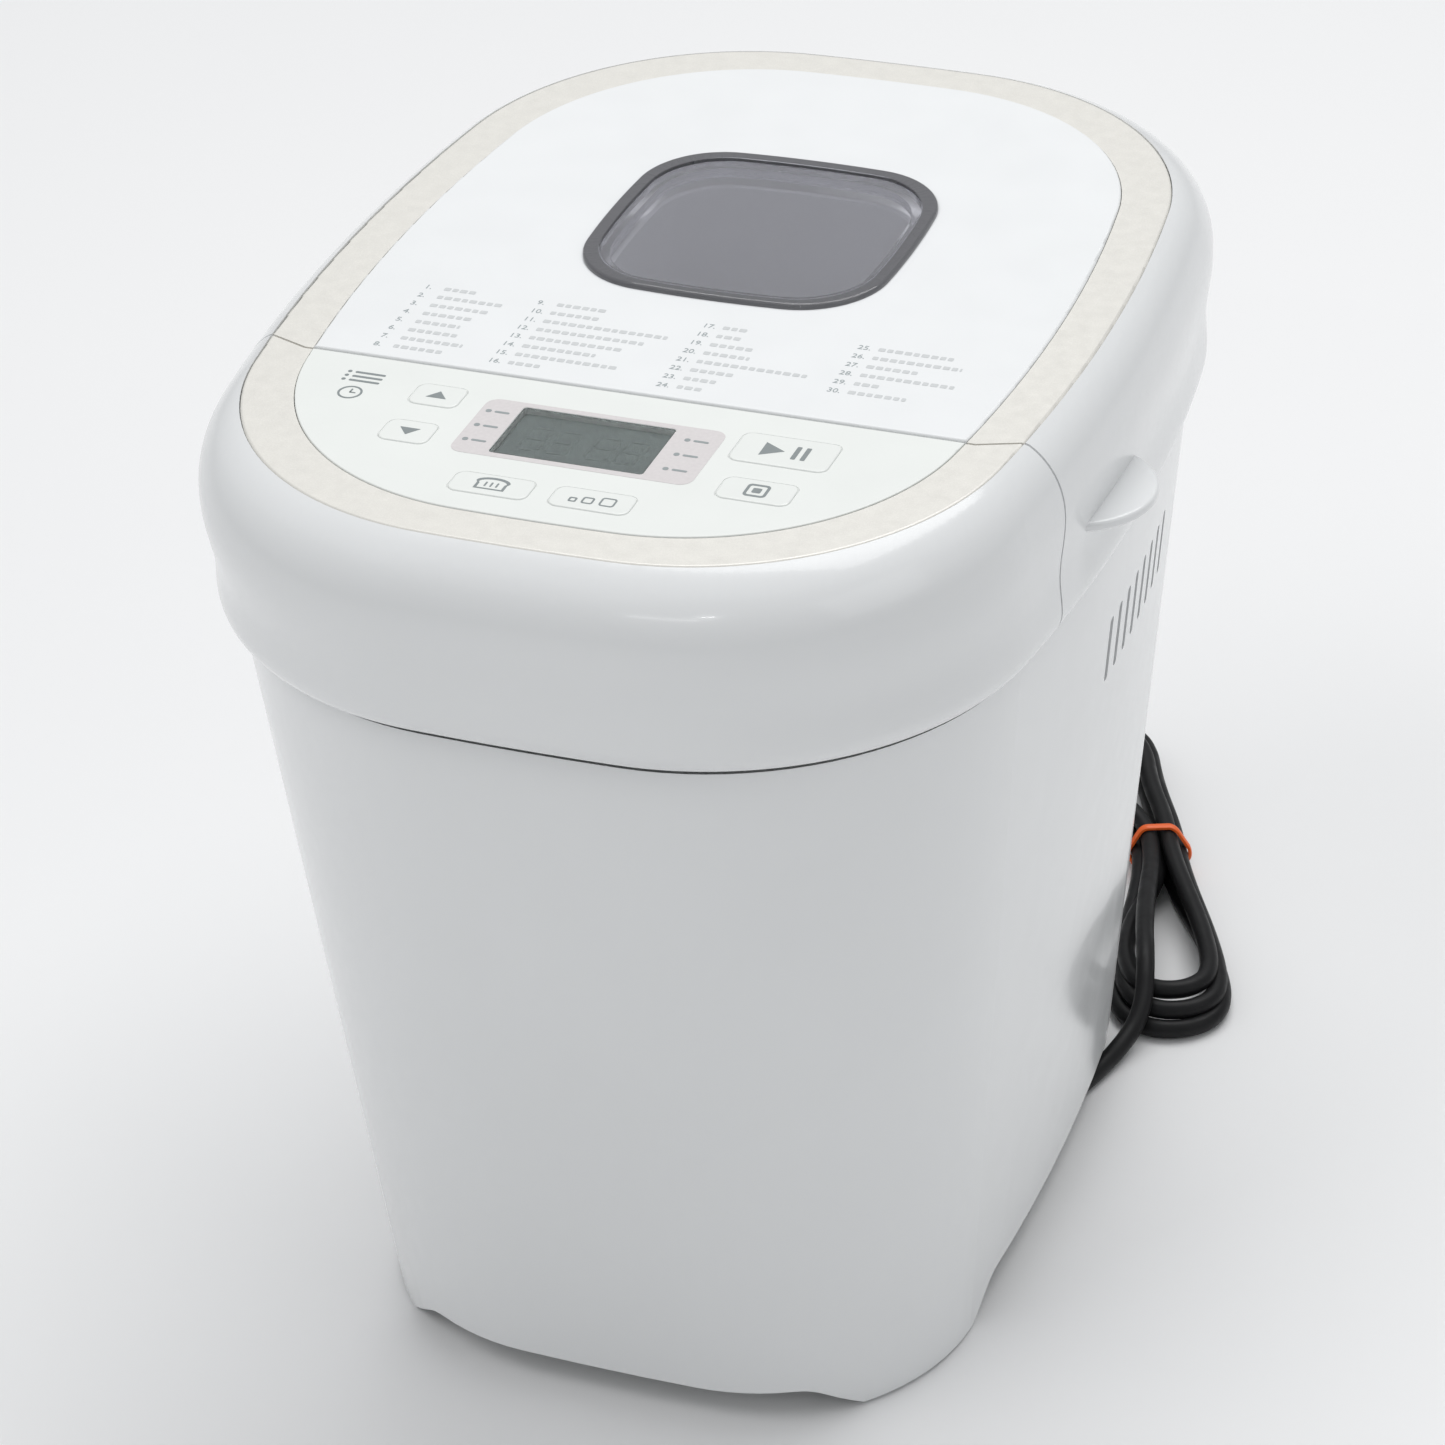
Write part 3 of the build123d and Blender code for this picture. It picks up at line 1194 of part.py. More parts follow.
with BuildPart() as drive_coupling:
    with BuildSketch(oven_plane(DRIVE_COUPLING_Z)):
        Circle(DRIVE_COUPLING_R)
    extrude(amount=DRIVE_COUPLING_THICK)
    with BuildSketch(oven_plane(DRIVE_COUPLING_Z + DRIVE_COUPLING_THICK)):
        with Locations((-DOG_RING_R, 0), (DOG_RING_R, 0)):
            Circle(DOG_R)
    extrude(amount=DOG_HEIGHT)
    with BuildSketch(oven_plane(DRIVE_COUPLING_Z)):
        Circle(SHAFT_R + RUNNING)
    extrude(amount=DRIVE_COUPLING_THICK, mode=Mode.SUBTRACT)
drive_coupling.part.label = "drive_coupling"
export_step(drive_coupling.part, "parts/drive_coupling.step")


def belt_pulley(centre, radius, bore):
    """Grooved pulley with two low flanges, on its own centre."""
    flange_thick = (PULLEY_WIDTH - BELT_WIDTH) / 2 - PULLEY_LIP_GAP
    layers = (
        (PULLEY_Z, flange_thick, radius + PULLEY_LIP),
        (PULLEY_Z, PULLEY_WIDTH, radius),
        (PULLEY_Z + PULLEY_WIDTH - flange_thick, flange_thick, radius + PULLEY_LIP),
    )
    for height, thick, layer_radius in layers:
        with BuildSketch(Plane.XY.offset(height)) as layer:
            with Locations(centre):
                Circle(layer_radius)
                Circle(bore, mode=Mode.SUBTRACT)
        extrude(layer.sketch, amount=thick)


with BuildPart() as driven_pulley:
    belt_pulley((0, OVEN_Y), DRIVEN_R, SHAFT_R + RUNNING)
    with BuildSketch(oven_plane(PULLEY_Z)):
        with PolarLocations(PULLEY_HOLE_RING_R, PULLEY_HOLES):
            Circle(PULLEY_HOLE_R)
    extrude(amount=PULLEY_WIDTH, mode=Mode.SUBTRACT)
driven_pulley.part.label = "driven_pulley"
export_step(driven_pulley.part, "parts/driven_pulley.step")

with BuildPart() as motor_pulley:
    belt_pulley((MOTOR_X, MOTOR_Y), MOTOR_PULLEY_R, MOTOR_SHAFT_R + RUNNING)
motor_pulley.part.label = "motor_pulley"
export_step(motor_pulley.part, "parts/motor_pulley.step")


def belt_face(gap, mode):
    """Outline round both pulleys at a gap from their grooves."""
    with BuildSketch(mode=Mode.PRIVATE) as wrap:
        with Locations((0, OVEN_Y)):
            Circle(DRIVEN_R + gap)
        with Locations((MOTOR_X, MOTOR_Y)):
            Circle(MOTOR_PULLEY_R + gap)
        make_hull()
    add(wrap.sketch, mode=mode)


with BuildPart() as drive_belt:
    with BuildSketch(Plane.XY.offset(PULLEY_Z + (PULLEY_WIDTH - BELT_WIDTH) / 2)):
        belt_face(BELT_CLEAR + BELT_THICK, Mode.ADD)
        belt_face(BELT_CLEAR, Mode.SUBTRACT)
    extrude(amount=BELT_WIDTH)
drive_belt.part.label = "drive_belt"
export_step(drive_belt.part, "parts/drive_belt.step")


def motor_plane(height):
    """Horizontal plane centred on the motor axis."""
    return Plane(origin=(MOTOR_X, MOTOR_Y, height))


MOTOR_Z = CHASSIS_Z + CHASSIS_THICK
with BuildPart() as motor:
    with BuildSketch(motor_plane(MOTOR_Z)):
        Circle(MOTOR_CAN_R)
    extrude(amount=MOTOR_LENGTH)
    with BuildSketch(motor_plane(MOTOR_Z + STATOR_RISE)):
        RectangleRounded(STATOR_SIDE, STATOR_SIDE, STATOR_ROUND)
    extrude(amount=STATOR_LENGTH)
    with BuildSketch(motor_plane(MOTOR_Z)):
        Circle(MOTOR_SHAFT_R + RUNNING)
    extrude(amount=MOTOR_LENGTH, mode=Mode.SUBTRACT)
motor.part.label = "motor"
export_step(motor.part, "parts/motor.step")

with BuildPart() as motor_shaft:
    with BuildSketch(motor_plane(MOTOR_SHAFT_BOTTOM)):
        Circle(MOTOR_SHAFT_R)
    extrude(amount=MOTOR_SHAFT_LENGTH)
motor_shaft.part.label = "motor_shaft"
export_step(motor_shaft.part, "parts/motor_shaft.step")

with BuildPart() as motor_fan:
    with BuildSketch(motor_plane(MOTOR_Z + FAN_RISE)):
        Circle(FAN_R)
    extrude(amount=FAN_DISC)
    with BuildSketch(motor_plane(MOTOR_Z + FAN_RISE + FAN_DISC)):
        Circle(FAN_HUB_R)
        with PolarLocations(FAN_BLADE_RING_R, FAN_BLADES):
            Rectangle(FAN_BLADE_LENGTH, FAN_BLADE_THICK)
    extrude(amount=FAN_BLADE_HEIGHT)
    with BuildSketch(motor_plane(MOTOR_Z + FAN_RISE)):
        Circle(MOTOR_SHAFT_R + RUNNING)
    extrude(amount=FAN_DISC + FAN_BLADE_HEIGHT, mode=Mode.SUBTRACT)
motor_fan.part.label = "motor_fan"
export_step(motor_fan.part, "parts/motor_fan.step")

with BuildPart() as power_board:
    with BuildSketch(Plane.YZ.offset(POWER_BOARD_X)):
        with Locations((POWER_BOARD_Y, POWER_BOARD_Z)):
            RectangleRounded(POWER_BOARD_DEPTH, POWER_BOARD_HEIGHT, POWER_BOARD_ROUND)
    extrude(amount=POWER_BOARD_THICK)
    for block_y, block_z, block_width, block_height, block_reach in POWER_BLOCKS:
        with BuildSketch(Plane.YZ.offset(POWER_BOARD_X + POWER_BOARD_THICK)):
            with Locations((block_y, block_z)):
                Rectangle(block_width, block_height)
        extrude(amount=block_reach)
    with BuildSketch(Plane.YZ.offset(POWER_BOARD_X + POWER_BOARD_THICK)):
        with Locations((CAPACITOR_Y, CAPACITOR_Z)):
            Circle(CAPACITOR_R)
    extrude(amount=CAPACITOR_REACH)
power_board.part.label = "power_board"
export_step(power_board.part, "parts/power_board.step")

# ---------------------------------------------------------------- mains cord
with BuildPart() as cord_gland:
    first = Vector(*LEAD_POINTS[0])
    heading = (Vector(*LEAD_POINTS[1]) - first).normalized()
    with BuildSketch(Plane.XY.offset(BASE_Z)):
        with Locations((first.X - heading.X * GLAND_BACK, first.Y - heading.Y * GLAND_BACK)):
            RectangleRounded(GLAND_SIDE, GLAND_SIDE, GLAND_ROUND)
    extrude(amount=GLAND_UNDER - BASE_Z)
    with BuildSketch(Plane(origin=first - heading * SLEEVE_LENGTH, z_dir=heading)):
        Circle(SLEEVE_WIDE_R)
    with BuildSketch(Plane(origin=first, z_dir=heading)):
        Circle(SLEEVE_NARROW_R)
    loft()
    with BuildSketch(Plane(origin=first, z_dir=heading)):
        Circle(CORD_R)
    extrude(amount=-SLEEVE_LENGTH, mode=Mode.SUBTRACT)
cord_gland.part.label = "cord_gland"
export_step(cord_gland.part, "parts/cord_gland.step")


def cord_tube(points):
    """Cord along a route, with its length and bend radii printed."""
    radii = bend_radii(points)
    length = round_tube(points, radii, CORD_R)
    print("cord radii", [round(radius, 1) for radius in radii], "length", round(length, 1))
    return length


with BuildPart() as power_cord_lead:
    lead_length = cord_tube(LEAD_POINTS)
power_cord_lead.part.label = "power_cord_lead"
export_step(power_cord_lead.part, "parts/power_cord_lead.step")
print("lead volume over section times length", power_cord_lead.part.volume / (pi * CORD_R**2 * lead_length))

with BuildPart() as power_cord_tail:
    tail_length = cord_tube(TAIL_POINTS)
power_cord_tail.part.label = "power_cord_tail"
export_step(power_cord_tail.part, "parts/power_cord_tail.step")
print("tail volume over section times length", power_cord_tail.part.volume / (pi * CORD_R**2 * tail_length))

HANK_X_DIR = (cos(radians(HANK_ANGLE)), sin(radians(HANK_ANGLE)), 0)
with BuildPart() as power_cord_hank:
    with BuildSketch(Plane(origin=(TIE_X, TIE_Y, CORD_Z - CORD_R), x_dir=HANK_X_DIR, z_dir=(0, 0, 1))):
        for lobe_at, lobe_r in ((LOW_LOBE_AT, LOW_LOBE_R), (HIGH_LOBE_AT, HIGH_LOBE_R)):
            with BuildSketch(mode=Mode.PRIVATE) as lobe:
                Circle(HANK_WAIST_R)
                with Locations(lobe_at):
                    Circle(lobe_r)
                make_hull()
            add(lobe.sketch)
    extrude(amount=HANK_HEIGHT)
    fillet(power_cord_hank.faces().sort_by(Axis.Z)[-1].edges(), radius=HANK_ROUND)
power_cord_hank.part.label = "power_cord_hank"
export_step(power_cord_hank.part, "parts/power_cord_hank.step")

with BuildPart() as cord_tie:
    tie_middle = CORD_Z - CORD_R + (HANK_HEIGHT + TIE_THICK) / 2
    tie_width = 2 * (HANK_WAIST_R + TIE_THICK)
    with BuildSketch(Plane(origin=(TIE_X, TIE_Y, tie_middle), x_dir=(0, 0, 1), z_dir=HANK_X_DIR)):
        RectangleRounded(HANK_HEIGHT + TIE_THICK, tie_width, TIE_ROUND)
        RectangleRounded(
            HANK_HEIGHT - TIE_THICK, tie_width - 2 * TIE_THICK, TIE_ROUND - TIE_THICK, mode=Mode.SUBTRACT
        )
    extrude(amount=TIE_WIDTH / 2, both=True)
cord_tie.part.label = "cord_tie"
export_step(cord_tie.part, "parts/cord_tie.step")

last = Vector(*TAIL_POINTS[-1])
tail_run = last - Vector(*TAIL_POINTS[-2])
plug_heading = Vector(tail_run.X, tail_run.Y, 0).normalized()


def plug_plane(distance):
    """Plane across the level plug, at a distance past the cord's end."""
    return Plane(origin=last + plug_heading * distance, x_dir=(0, 0, 1), z_dir=plug_heading)


with BuildPart() as plug_body:
    for distance, plug_height, plug_width in PLUG_STATIONS:
        with BuildSketch(plug_plane(distance)):
            RectangleRounded(plug_height, plug_width, PLUG_ROUND)
    loft()
plug_body.part.label = "plug_body"
export_step(plug_body.part, "parts/plug_body.step")

with BuildPart() as plug_pins:
    with BuildSketch(plug_plane(PLUG_LENGTH)):
        with Locations((0, -PIN_HALF_PITCH), (0, PIN_HALF_PITCH)):
            Rectangle(PIN_HEIGHT, PIN_THICK)
    extrude(amount=PIN_LENGTH)
plug_pins.part.label = "plug_pins"
export_step(plug_pins.part, "parts/plug_pins.step")
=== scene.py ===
"""Looks for a home bread machine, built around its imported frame. Metres, +Z up."""
from math import cos, pi, radians, sin, tau

import bmesh
import bpy
from mathutils import Matrix, Vector


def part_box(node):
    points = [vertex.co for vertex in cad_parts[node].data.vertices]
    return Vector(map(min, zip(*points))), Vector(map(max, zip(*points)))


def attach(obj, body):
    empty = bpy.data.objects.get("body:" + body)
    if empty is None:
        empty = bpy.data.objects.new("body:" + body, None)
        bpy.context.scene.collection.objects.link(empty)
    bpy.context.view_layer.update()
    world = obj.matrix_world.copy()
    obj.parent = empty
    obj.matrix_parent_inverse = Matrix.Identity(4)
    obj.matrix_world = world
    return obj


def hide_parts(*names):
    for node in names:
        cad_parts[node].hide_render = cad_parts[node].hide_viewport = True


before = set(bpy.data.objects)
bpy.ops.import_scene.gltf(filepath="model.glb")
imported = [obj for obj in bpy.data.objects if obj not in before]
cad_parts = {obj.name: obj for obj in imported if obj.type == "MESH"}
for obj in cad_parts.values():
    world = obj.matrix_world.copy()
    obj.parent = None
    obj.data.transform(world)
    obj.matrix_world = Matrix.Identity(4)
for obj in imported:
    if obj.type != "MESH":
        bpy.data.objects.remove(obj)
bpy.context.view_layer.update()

bl_info = {
    "name": "Bread machine looks",
    "version": (1, 0, 0),
    "blender": (4, 5, 0),
    "location": "3D View > Sidebar > Bread machine",
    "description": "Finishes, prints, cord and small fittings of a home bread machine",
    "category": "Object",
}

MM = 0.001
INK_LIFT = 0.00001  # gap that keeps a print clear of the face under it
FLOOR_DROP = 0.0002
LID_PANEL_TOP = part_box("lid_top_panel")[1].z
CONTROL_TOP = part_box("control_panel")[1].z
DISPLAY_LOW, DISPLAY_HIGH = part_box("lcd_window")
DISPLAY_CENTRE = (DISPLAY_LOW + DISPLAY_HIGH) / 2
KEY_NAMES = ("key_menu_up", "key_menu_down", "key_crust", "key_size", "key_start", "key_cancel")

# Mains cord: the route's points, in metres
LEAD_POINTS = (
    (0.0720, 0.0220, 0.0050),
    (0.0795, 0.0385, 0.0035),
    (0.0855, 0.0555, 0.00305),
    (0.0900, 0.0710, 0.0033),
    (0.0936, 0.0830, 0.0065),
    (0.0945, 0.0920, 0.0115),
)
TAIL_POINTS = (
    (0.0570, 0.1970, 0.0034),
    (0.0450, 0.2040, 0.0031),
    (0.0315, 0.2075, 0.0043),
    (0.0175, 0.2070, 0.0068),
    (0.0040, 0.2030, 0.0072),
)
TIE_AT = Vector((0.074, 0.178, 0.0))
HANK_ANGLE = radians(112)
HANK_ALONG = Vector((cos(HANK_ANGLE), sin(HANK_ANGLE), 0))
HANK_ACROSS = Vector((-sin(HANK_ANGLE), cos(HANK_ANGLE), 0))


# ---------------------------------------------------------------- settings
class BreadSizes(bpy.types.PropertyGroup):
    """Sizes of the cord, the prints and the camera's place"""

    cord_diameter: bpy.props.FloatProperty(
        name="Cord diameter", description="Thickness of the mains cord", default=0.006, subtype="DISTANCE")
    cord_length: bpy.props.FloatProperty(
        name="Cord length", description="Whole length of the mains cord", default=1.32, subtype="DISTANCE")
    relief_length: bpy.props.FloatProperty(
        name="Strain relief length", description="Length of the ribbed sleeve at the exit",
        default=0.028, subtype="DISTANCE")
    print_thick: bpy.props.FloatProperty(
        name="Print thickness", description="Thickness of the ink on the panels",
        default=0.00006, subtype="DISTANCE")
    numeral_height: bpy.props.FloatProperty(
        name="Numeral height", description="Height of the menu numerals", default=0.0022, subtype="DISTANCE")
    row_pitch: bpy.props.FloatProperty(
        name="Row pitch", description="Distance between two rows of the menu list",
        default=0.0049, subtype="DISTANCE")
    camera_place: bpy.props.FloatVectorProperty(
        name="Camera place", description="Where the camera stands",
        default=(0.4436, -1.0956, 0.9050), subtype="TRANSLATION")
    camera_turn: bpy.props.FloatVectorProperty(
        name="Camera turn", description="How the camera is turned",
        default=(radians(57.54), radians(2.438), radians(20.76)), subtype="EULER")
    camera_lens: bpy.props.FloatProperty(
        name="Camera lens", description="Focal length in millimetres", default=120.5)


class BreadColours(bpy.types.PropertyGroup):
    """Colours of the finishes"""

    shell: bpy.props.FloatVectorProperty(
        name="Shell", description="Gloss white of the casing", default=(0.83, 0.84, 0.845), subtype="COLOR")
    panel: bpy.props.FloatVectorProperty(
        name="Lid panel", description="White of the lid's top panel", default=(0.85, 0.862, 0.868),
        subtype="COLOR")
    film: bpy.props.FloatVectorProperty(
        name="Control film", description="Faint green-white of the control film",
        default=(0.83, 0.85, 0.825), subtype="COLOR")
    ring: bpy.props.FloatVectorProperty(
        name="Trim ring", description="Warm beige of the trim ring", default=(0.76, 0.742, 0.695),
        subtype="COLOR")
    ink: bpy.props.FloatVectorProperty(
        name="Ink", description="Grey ink of the prints", default=(0.22, 0.245, 0.25), subtype="COLOR")
    pale_ink: bpy.props.FloatVectorProperty(
        name="Pale ink", description="Lighter ink of the menu bars", default=(0.56, 0.575, 0.58),
        subtype="COLOR")
    surround: bpy.props.FloatVectorProperty(
        name="Display surround", description="Mauve grey round the display",
        default=(0.62, 0.59, 0.59), subtype="COLOR")
    display: bpy.props.FloatVectorProperty(
        name="Display", description="Grey-green of the unlit display", default=(0.19, 0.225, 0.215),
        subtype="COLOR")
    smoke: bpy.props.FloatVectorProperty(
        name="Window smoke", description="Grey-violet tint of the window", default=(0.82, 0.82, 0.88),
        subtype="COLOR")
    cord: bpy.props.FloatVectorProperty(
        name="Cord", description="Black of the cord's sheath", default=(0.0065, 0.0065, 0.007),
        subtype="COLOR")
    tie: bpy.props.FloatVectorProperty(
        name="Tie", description="Orange of the cord's tie", default=(0.85, 0.13, 0.015), subtype="COLOR")


# ---------------------------------------------------------------- material helpers
class Finish:
    """A Principled material with short calls for its pattern nodes."""

    def __init__(self, name, colour, roughness, metallic=0.0):
        self.material = bpy.data.materials.new(name)
        self.material.use_nodes = True
        self.nodes = self.material.node_tree.nodes
        self.links = self.material.node_tree.links
        self.nodes.clear()
        output = self.nodes.new("ShaderNodeOutputMaterial")
        self.shader = self.nodes.new("ShaderNodeBsdfPrincipled")
        self.links.new(self.shader.outputs["BSDF"], output.inputs["Surface"])
        self.shader.inputs["Base Color"].default_value = (*colour, 1)
        self.shader.inputs["Roughness"].default_value = roughness
        self.shader.inputs["Metallic"].default_value = metallic
        self.material.diffuse_color = (*colour, 1)
        self.colour = colour
        coordinates = self.nodes.new("ShaderNodeTexCoord")
        self.place = coordinates.outputs["Object"]

    def set(self, socket, value):
        self.shader.inputs[socket].default_value = value
        return self

    def stretched(self, scale):
        """Object coordinates, scaled on each axis."""
        mapping = self.nodes.new("ShaderNodeMapping")
        mapping.inputs["Scale"].default_value = scale
        self.links.new(self.place, mapping.inputs["Vector"])
        return mapping.outputs["Vector"]

    def noise(self, scale, detail=3.0, place=None):
        texture = self.nodes.new("ShaderNodeTexNoise")
        texture.inputs["Scale"].default_value = scale
        texture.inputs["Detail"].default_value = detail
        self.links.new(place or self.place, texture.inputs["Vector"])
        return texture.outputs["Fac"]

    def cells(self, scale, output="Distance"):
        texture = self.nodes.new("ShaderNodeTexVoronoi")
        texture.inputs["Scale"].default_value = scale
        self.links.new(self.place, texture.inputs["Vector"])
        return texture.outputs[output]

    def wave(self, scale, direction="X"):
        texture = self.nodes.new("ShaderNodeTexWave")
        texture.bands_direction = direction
        texture.inputs["Scale"].default_value = scale
        self.links.new(self.place, texture.inputs["Vector"])
        return texture.outputs["Fac"]

    def ranged(self, value, low, high, start=0.0, end=1.0):
        spread = self.nodes.new("ShaderNodeMapRange")
        spread.inputs["From Min"].default_value = start
        spread.inputs["From Max"].default_value = end
        spread.inputs["To Min"].default_value = low
        spread.inputs["To Max"].default_value = high
        self.links.new(value, spread.inputs["Value"])
        return spread.outputs["Result"]

    def tint(self, value, other, share=1.0):
        """Base colour that runs from the finish's own colour to another one."""
        mix = self.nodes.new("ShaderNodeMix")
        mix.data_type = "RGBA"
        mix.inputs["A"].default_value = (*self.colour, 1)
        mix.inputs["B"].default_value = (*other, 1)
        self.links.new(self.ranged(value, 0.0, share), mix.inputs["Factor"])
        self.links.new(mix.outputs["Result"], self.shader.inputs["Base Color"])
        return self

    def gloss(self, value, low, high, start=0.3, end=0.7):
        self.links.new(self.ranged(value, low, high, start, end), self.shader.inputs["Roughness"])
        return self

    def bump(self, value, depth, strength=1.0):
        bump = self.nodes.new("ShaderNodeBump")
        bump.inputs["Distance"].default_value = depth
        bump.inputs["Strength"].default_value = strength
        self.links.new(value, bump.inputs["Height"])
        self.links.new(bump.outputs["Normal"], self.shader.inputs["Normal"])
        return self


def shade(colour, share):
    """The colour made lighter or darker by a share."""
    return tuple(min(1.0, channel * share) for channel in colour)


def moulded(name, colour, roughness, coat=0.0, grain=900.0, depth=0.000004):
    """Moulded plastic: faint cloudiness, uneven gloss and a fine skin."""
    finish = Finish(name, colour, roughness)
    finish.tint(finish.noise(14, 2), shade(colour, 0.965))
    finish.gloss(finish.noise(60, 4), roughness * 0.85, roughness * 1.2)
    finish.bump(finish.noise(grain, 2), depth, 0.35)
    finish.set("Coat Weight", coat).set("Coat Roughness", 0.06).set("IOR", 1.5)
    return finish.material


def brushed(name, colour, roughness, along=(40, 900, 900)):
    """Drawn or brushed metal with streaks along one axis."""
    finish = Finish(name, colour, roughness, 1.0)
    streaks = finish.noise(1.0, 6, finish.stretched(along))
    finish.tint(streaks, shade(colour, 0.72))
    finish.gloss(streaks, roughness * 0.7, roughness * 1.5)
    finish.bump(streaks, 0.00001, 0.4)
    return finish.material


def gloss_shell(colours):
    return moulded("gloss_shell_white", tuple(colours.shell), 0.19, 0.3, 420, 0.000003)


def lid_panel_finish(colours):
    return moulded("lid_panel_white", tuple(colours.panel), 0.36, 0.0, 700, 0.0000001)


def film_finish(colours):
    return moulded("control_film", tuple(colours.film), 0.38, 0.0, 700, 0.0000001)


def key_finish(colours):
    return moulded("key_pad_film", shade(tuple(colours.film), 1.012), 0.32, 0.15, 1800, 0.000003)


def ring_finish(colours):
    """Satin beige lacquer with a fine pearl fleck."""
    colour = tuple(colours.ring)
    finish = Finish("pearl_beige_lacquer", colour, 0.34, 0.12)
    finish.tint(finish.cells(2600), shade(colour, 1.13), 0.8)
    finish.gloss(finish.noise(240, 4), 0.28, 0.42)
    finish.bump(finish.noise(2600, 2), 0.000004, 0.5)
    finish.set("Coat Weight", 0.2).set("Coat Roughness", 0.12)
    return finish.material


def smoked_finish(colours):
    """Smoked clear moulding with faint wiping marks."""
    finish = Finish("smoked_window", tuple(colours.smoke), 0.05)
    finish.gloss(finish.noise(30, 6, finish.stretched((1, 4, 1))), 0.03, 0.11)
    finish.set("Transmission Weight", 0.84).set("IOR", 1.49).set("Specular IOR Level", 0.6)
    finish.bump(finish.noise(220, 2), 0.000006, 0.25)
    return finish.material


def clear_finish():
    """Clear glass with faint dust."""
    finish = Finish("clear_pane", (0.93, 0.95, 0.95), 0.02)
    finish.gloss(finish.noise(50, 6), 0.01, 0.06)
    finish.set("Transmission Weight", 1.0).set("IOR", 1.46)
    return finish.material


def display_finish(colours):
    """Unlit display cell: grey-green under a clear coat, with fine ribs."""
    colour = tuple(colours.display)
    finish = Finish("unlit_display", colour, 0.22)
    finish.tint(finish.noise(35, 2), shade(colour, 1.22))
    finish.bump(finish.wave(900), 0.000003, 0.4)
    finish.set("Coat Weight", 0.6).set("Coat Roughness", 0.05)
    return finish.material


def board_finish():
    """Green circuit board with copper tracks under its lacquer."""
    green = (0.02, 0.13, 0.045)
    finish = Finish("circuit_board", green, 0.35)
    tracks = finish.wave(95, "DIAGONAL")
    finish.tint(finish.ranged(tracks, 0, 1, 0.62, 0.68), (0.09, 0.3, 0.1))
    finish.bump(finish.ranged(tracks, 0, 1, 0.6, 0.7), 0.00004, 0.6)
    finish.set("Coat Weight", 0.4)
    return finish.material


def zinc_finish():
    """Galvanised sheet with a soft spangle."""
    finish = Finish("galvanised_sheet", (0.55, 0.57, 0.58), 0.38, 1.0)
    spangle = finish.cells(140, "Color")
    split = finish.nodes.new("ShaderNodeSeparateColor")
    finish.links.new(spangle, split.inputs["Color"])
    finish.tint(split.outputs["Red"], (0.66, 0.68, 0.69), 0.6)
    finish.gloss(split.outputs["Green"], 0.34, 0.44, 0.0, 1.0)
    finish.bump(finish.noise(500, 3), 0.00001, 0.3)
    return finish.material


def coated_pan_finish():
    """Dark non-stick coating with a fine speckle."""
    finish = Finish("non_stick_coating", (0.055, 0.055, 0.058), 0.42, 0.25)
    finish.tint(finish.ranged(finish.cells(1500), 1, 0, 0.0, 0.35), (0.26, 0.26, 0.27))
    finish.gloss(finish.noise(120, 4), 0.34, 0.5)
    finish.bump(finish.noise(1400, 3), 0.00001, 0.5)
    return finish.material


def cast_finish():
    """Cast aluminium with a grainy skin."""
    finish = Finish("cast_aluminium", (0.6, 0.6, 0.61), 0.45, 1.0)
    finish.tint(finish.noise(260, 5), (0.42, 0.42, 0.43))
    finish.gloss(finish.noise(180, 3), 0.38, 0.6)
    finish.bump(finish.noise(900, 4), 0.00004, 0.6)
    return finish.material


def ceramic_finish():
    return moulded("glazed_ceramic", (0.78, 0.76, 0.7), 0.25, 0.5, 500, 0.00001)


def rubber_finish(name="matt_rubber", colour=(0.016, 0.016, 0.017), roughness=0.6):
    """Matt black rubber with a dusty bloom."""
    finish = Finish(name, colour, roughness)
    finish.tint(finish.noise(45, 5), shade(colour, 2.2), 0.8)
    finish.gloss(finish.noise(200, 3), roughness * 0.85, min(1.0, roughness * 1.2))
    finish.bump(finish.noise(1300, 3), 0.00002, 0.45)
    return finish.material


def cord_finish(colours):
    """Black vinyl sheath: satin, slightly dusty, with faint ripples."""
    colour = tuple(colours.cord)
    finish = Finish("cord_sheath", colour, 0.45)
    finish.set("Specular IOR Level", 0.22)
    finish.tint(finish.noise(70, 5), shade(colour, 2.2), 0.7)
    finish.gloss(finish.noise(160, 3), 0.38, 0.55)
    finish.bump(finish.noise(420, 3), 0.00005, 0.35)
    return finish.material


def element_finish():
    """Sheathed heating rod, straw and blue from heat."""
    finish = Finish("heated_steel_rod", (0.2, 0.17, 0.14), 0.4, 0.9)
    finish.tint(finish.noise(28, 4), (0.09, 0.1, 0.13))
    finish.gloss(finish.noise(150, 3), 0.32, 0.5)
    finish.bump(finish.noise(900, 3), 0.00002, 0.4)
    return finish.material


def silicone_finish():
    return moulded("pale_silicone", (0.62, 0.62, 0.6), 0.55, 0.0, 700, 0.00002)


def tie_finish(colours):
    return moulded("orange_tie", tuple(colours.tie), 0.42, 0.1, 1200, 0.00001)


def ink_finish(name, colour):
    """Screen-printed ink with slightly uneven cover."""
    finish = Finish(name, colour, 0.45)
    finish.tint(finish.noise(900, 3), shade(colour, 1.18))
    finish.gloss(finish.noise(400, 2), 0.38, 0.52)
    return finish.material


def copper_finish():
    """Enamelled copper winding."""
    finish = Finish("copper_winding", (0.6, 0.2, 0.06), 0.32, 1.0)
    turns = finish.wave(420, "Z")
    finish.tint(turns, (0.28, 0.08, 0.02))
    finish.bump(turns, 0.0002, 0.8)
    return finish.material


# ---------------------------------------------------------------- shape helpers
def deselect_all():
    for item in bpy.context.selected_objects:
        item.select_set(False)


def begin(item):
    """Make one object the active and only selected one."""
    deselect_all()
    item.select_set(True)
    bpy.context.view_layer.objects.active = item
    return item


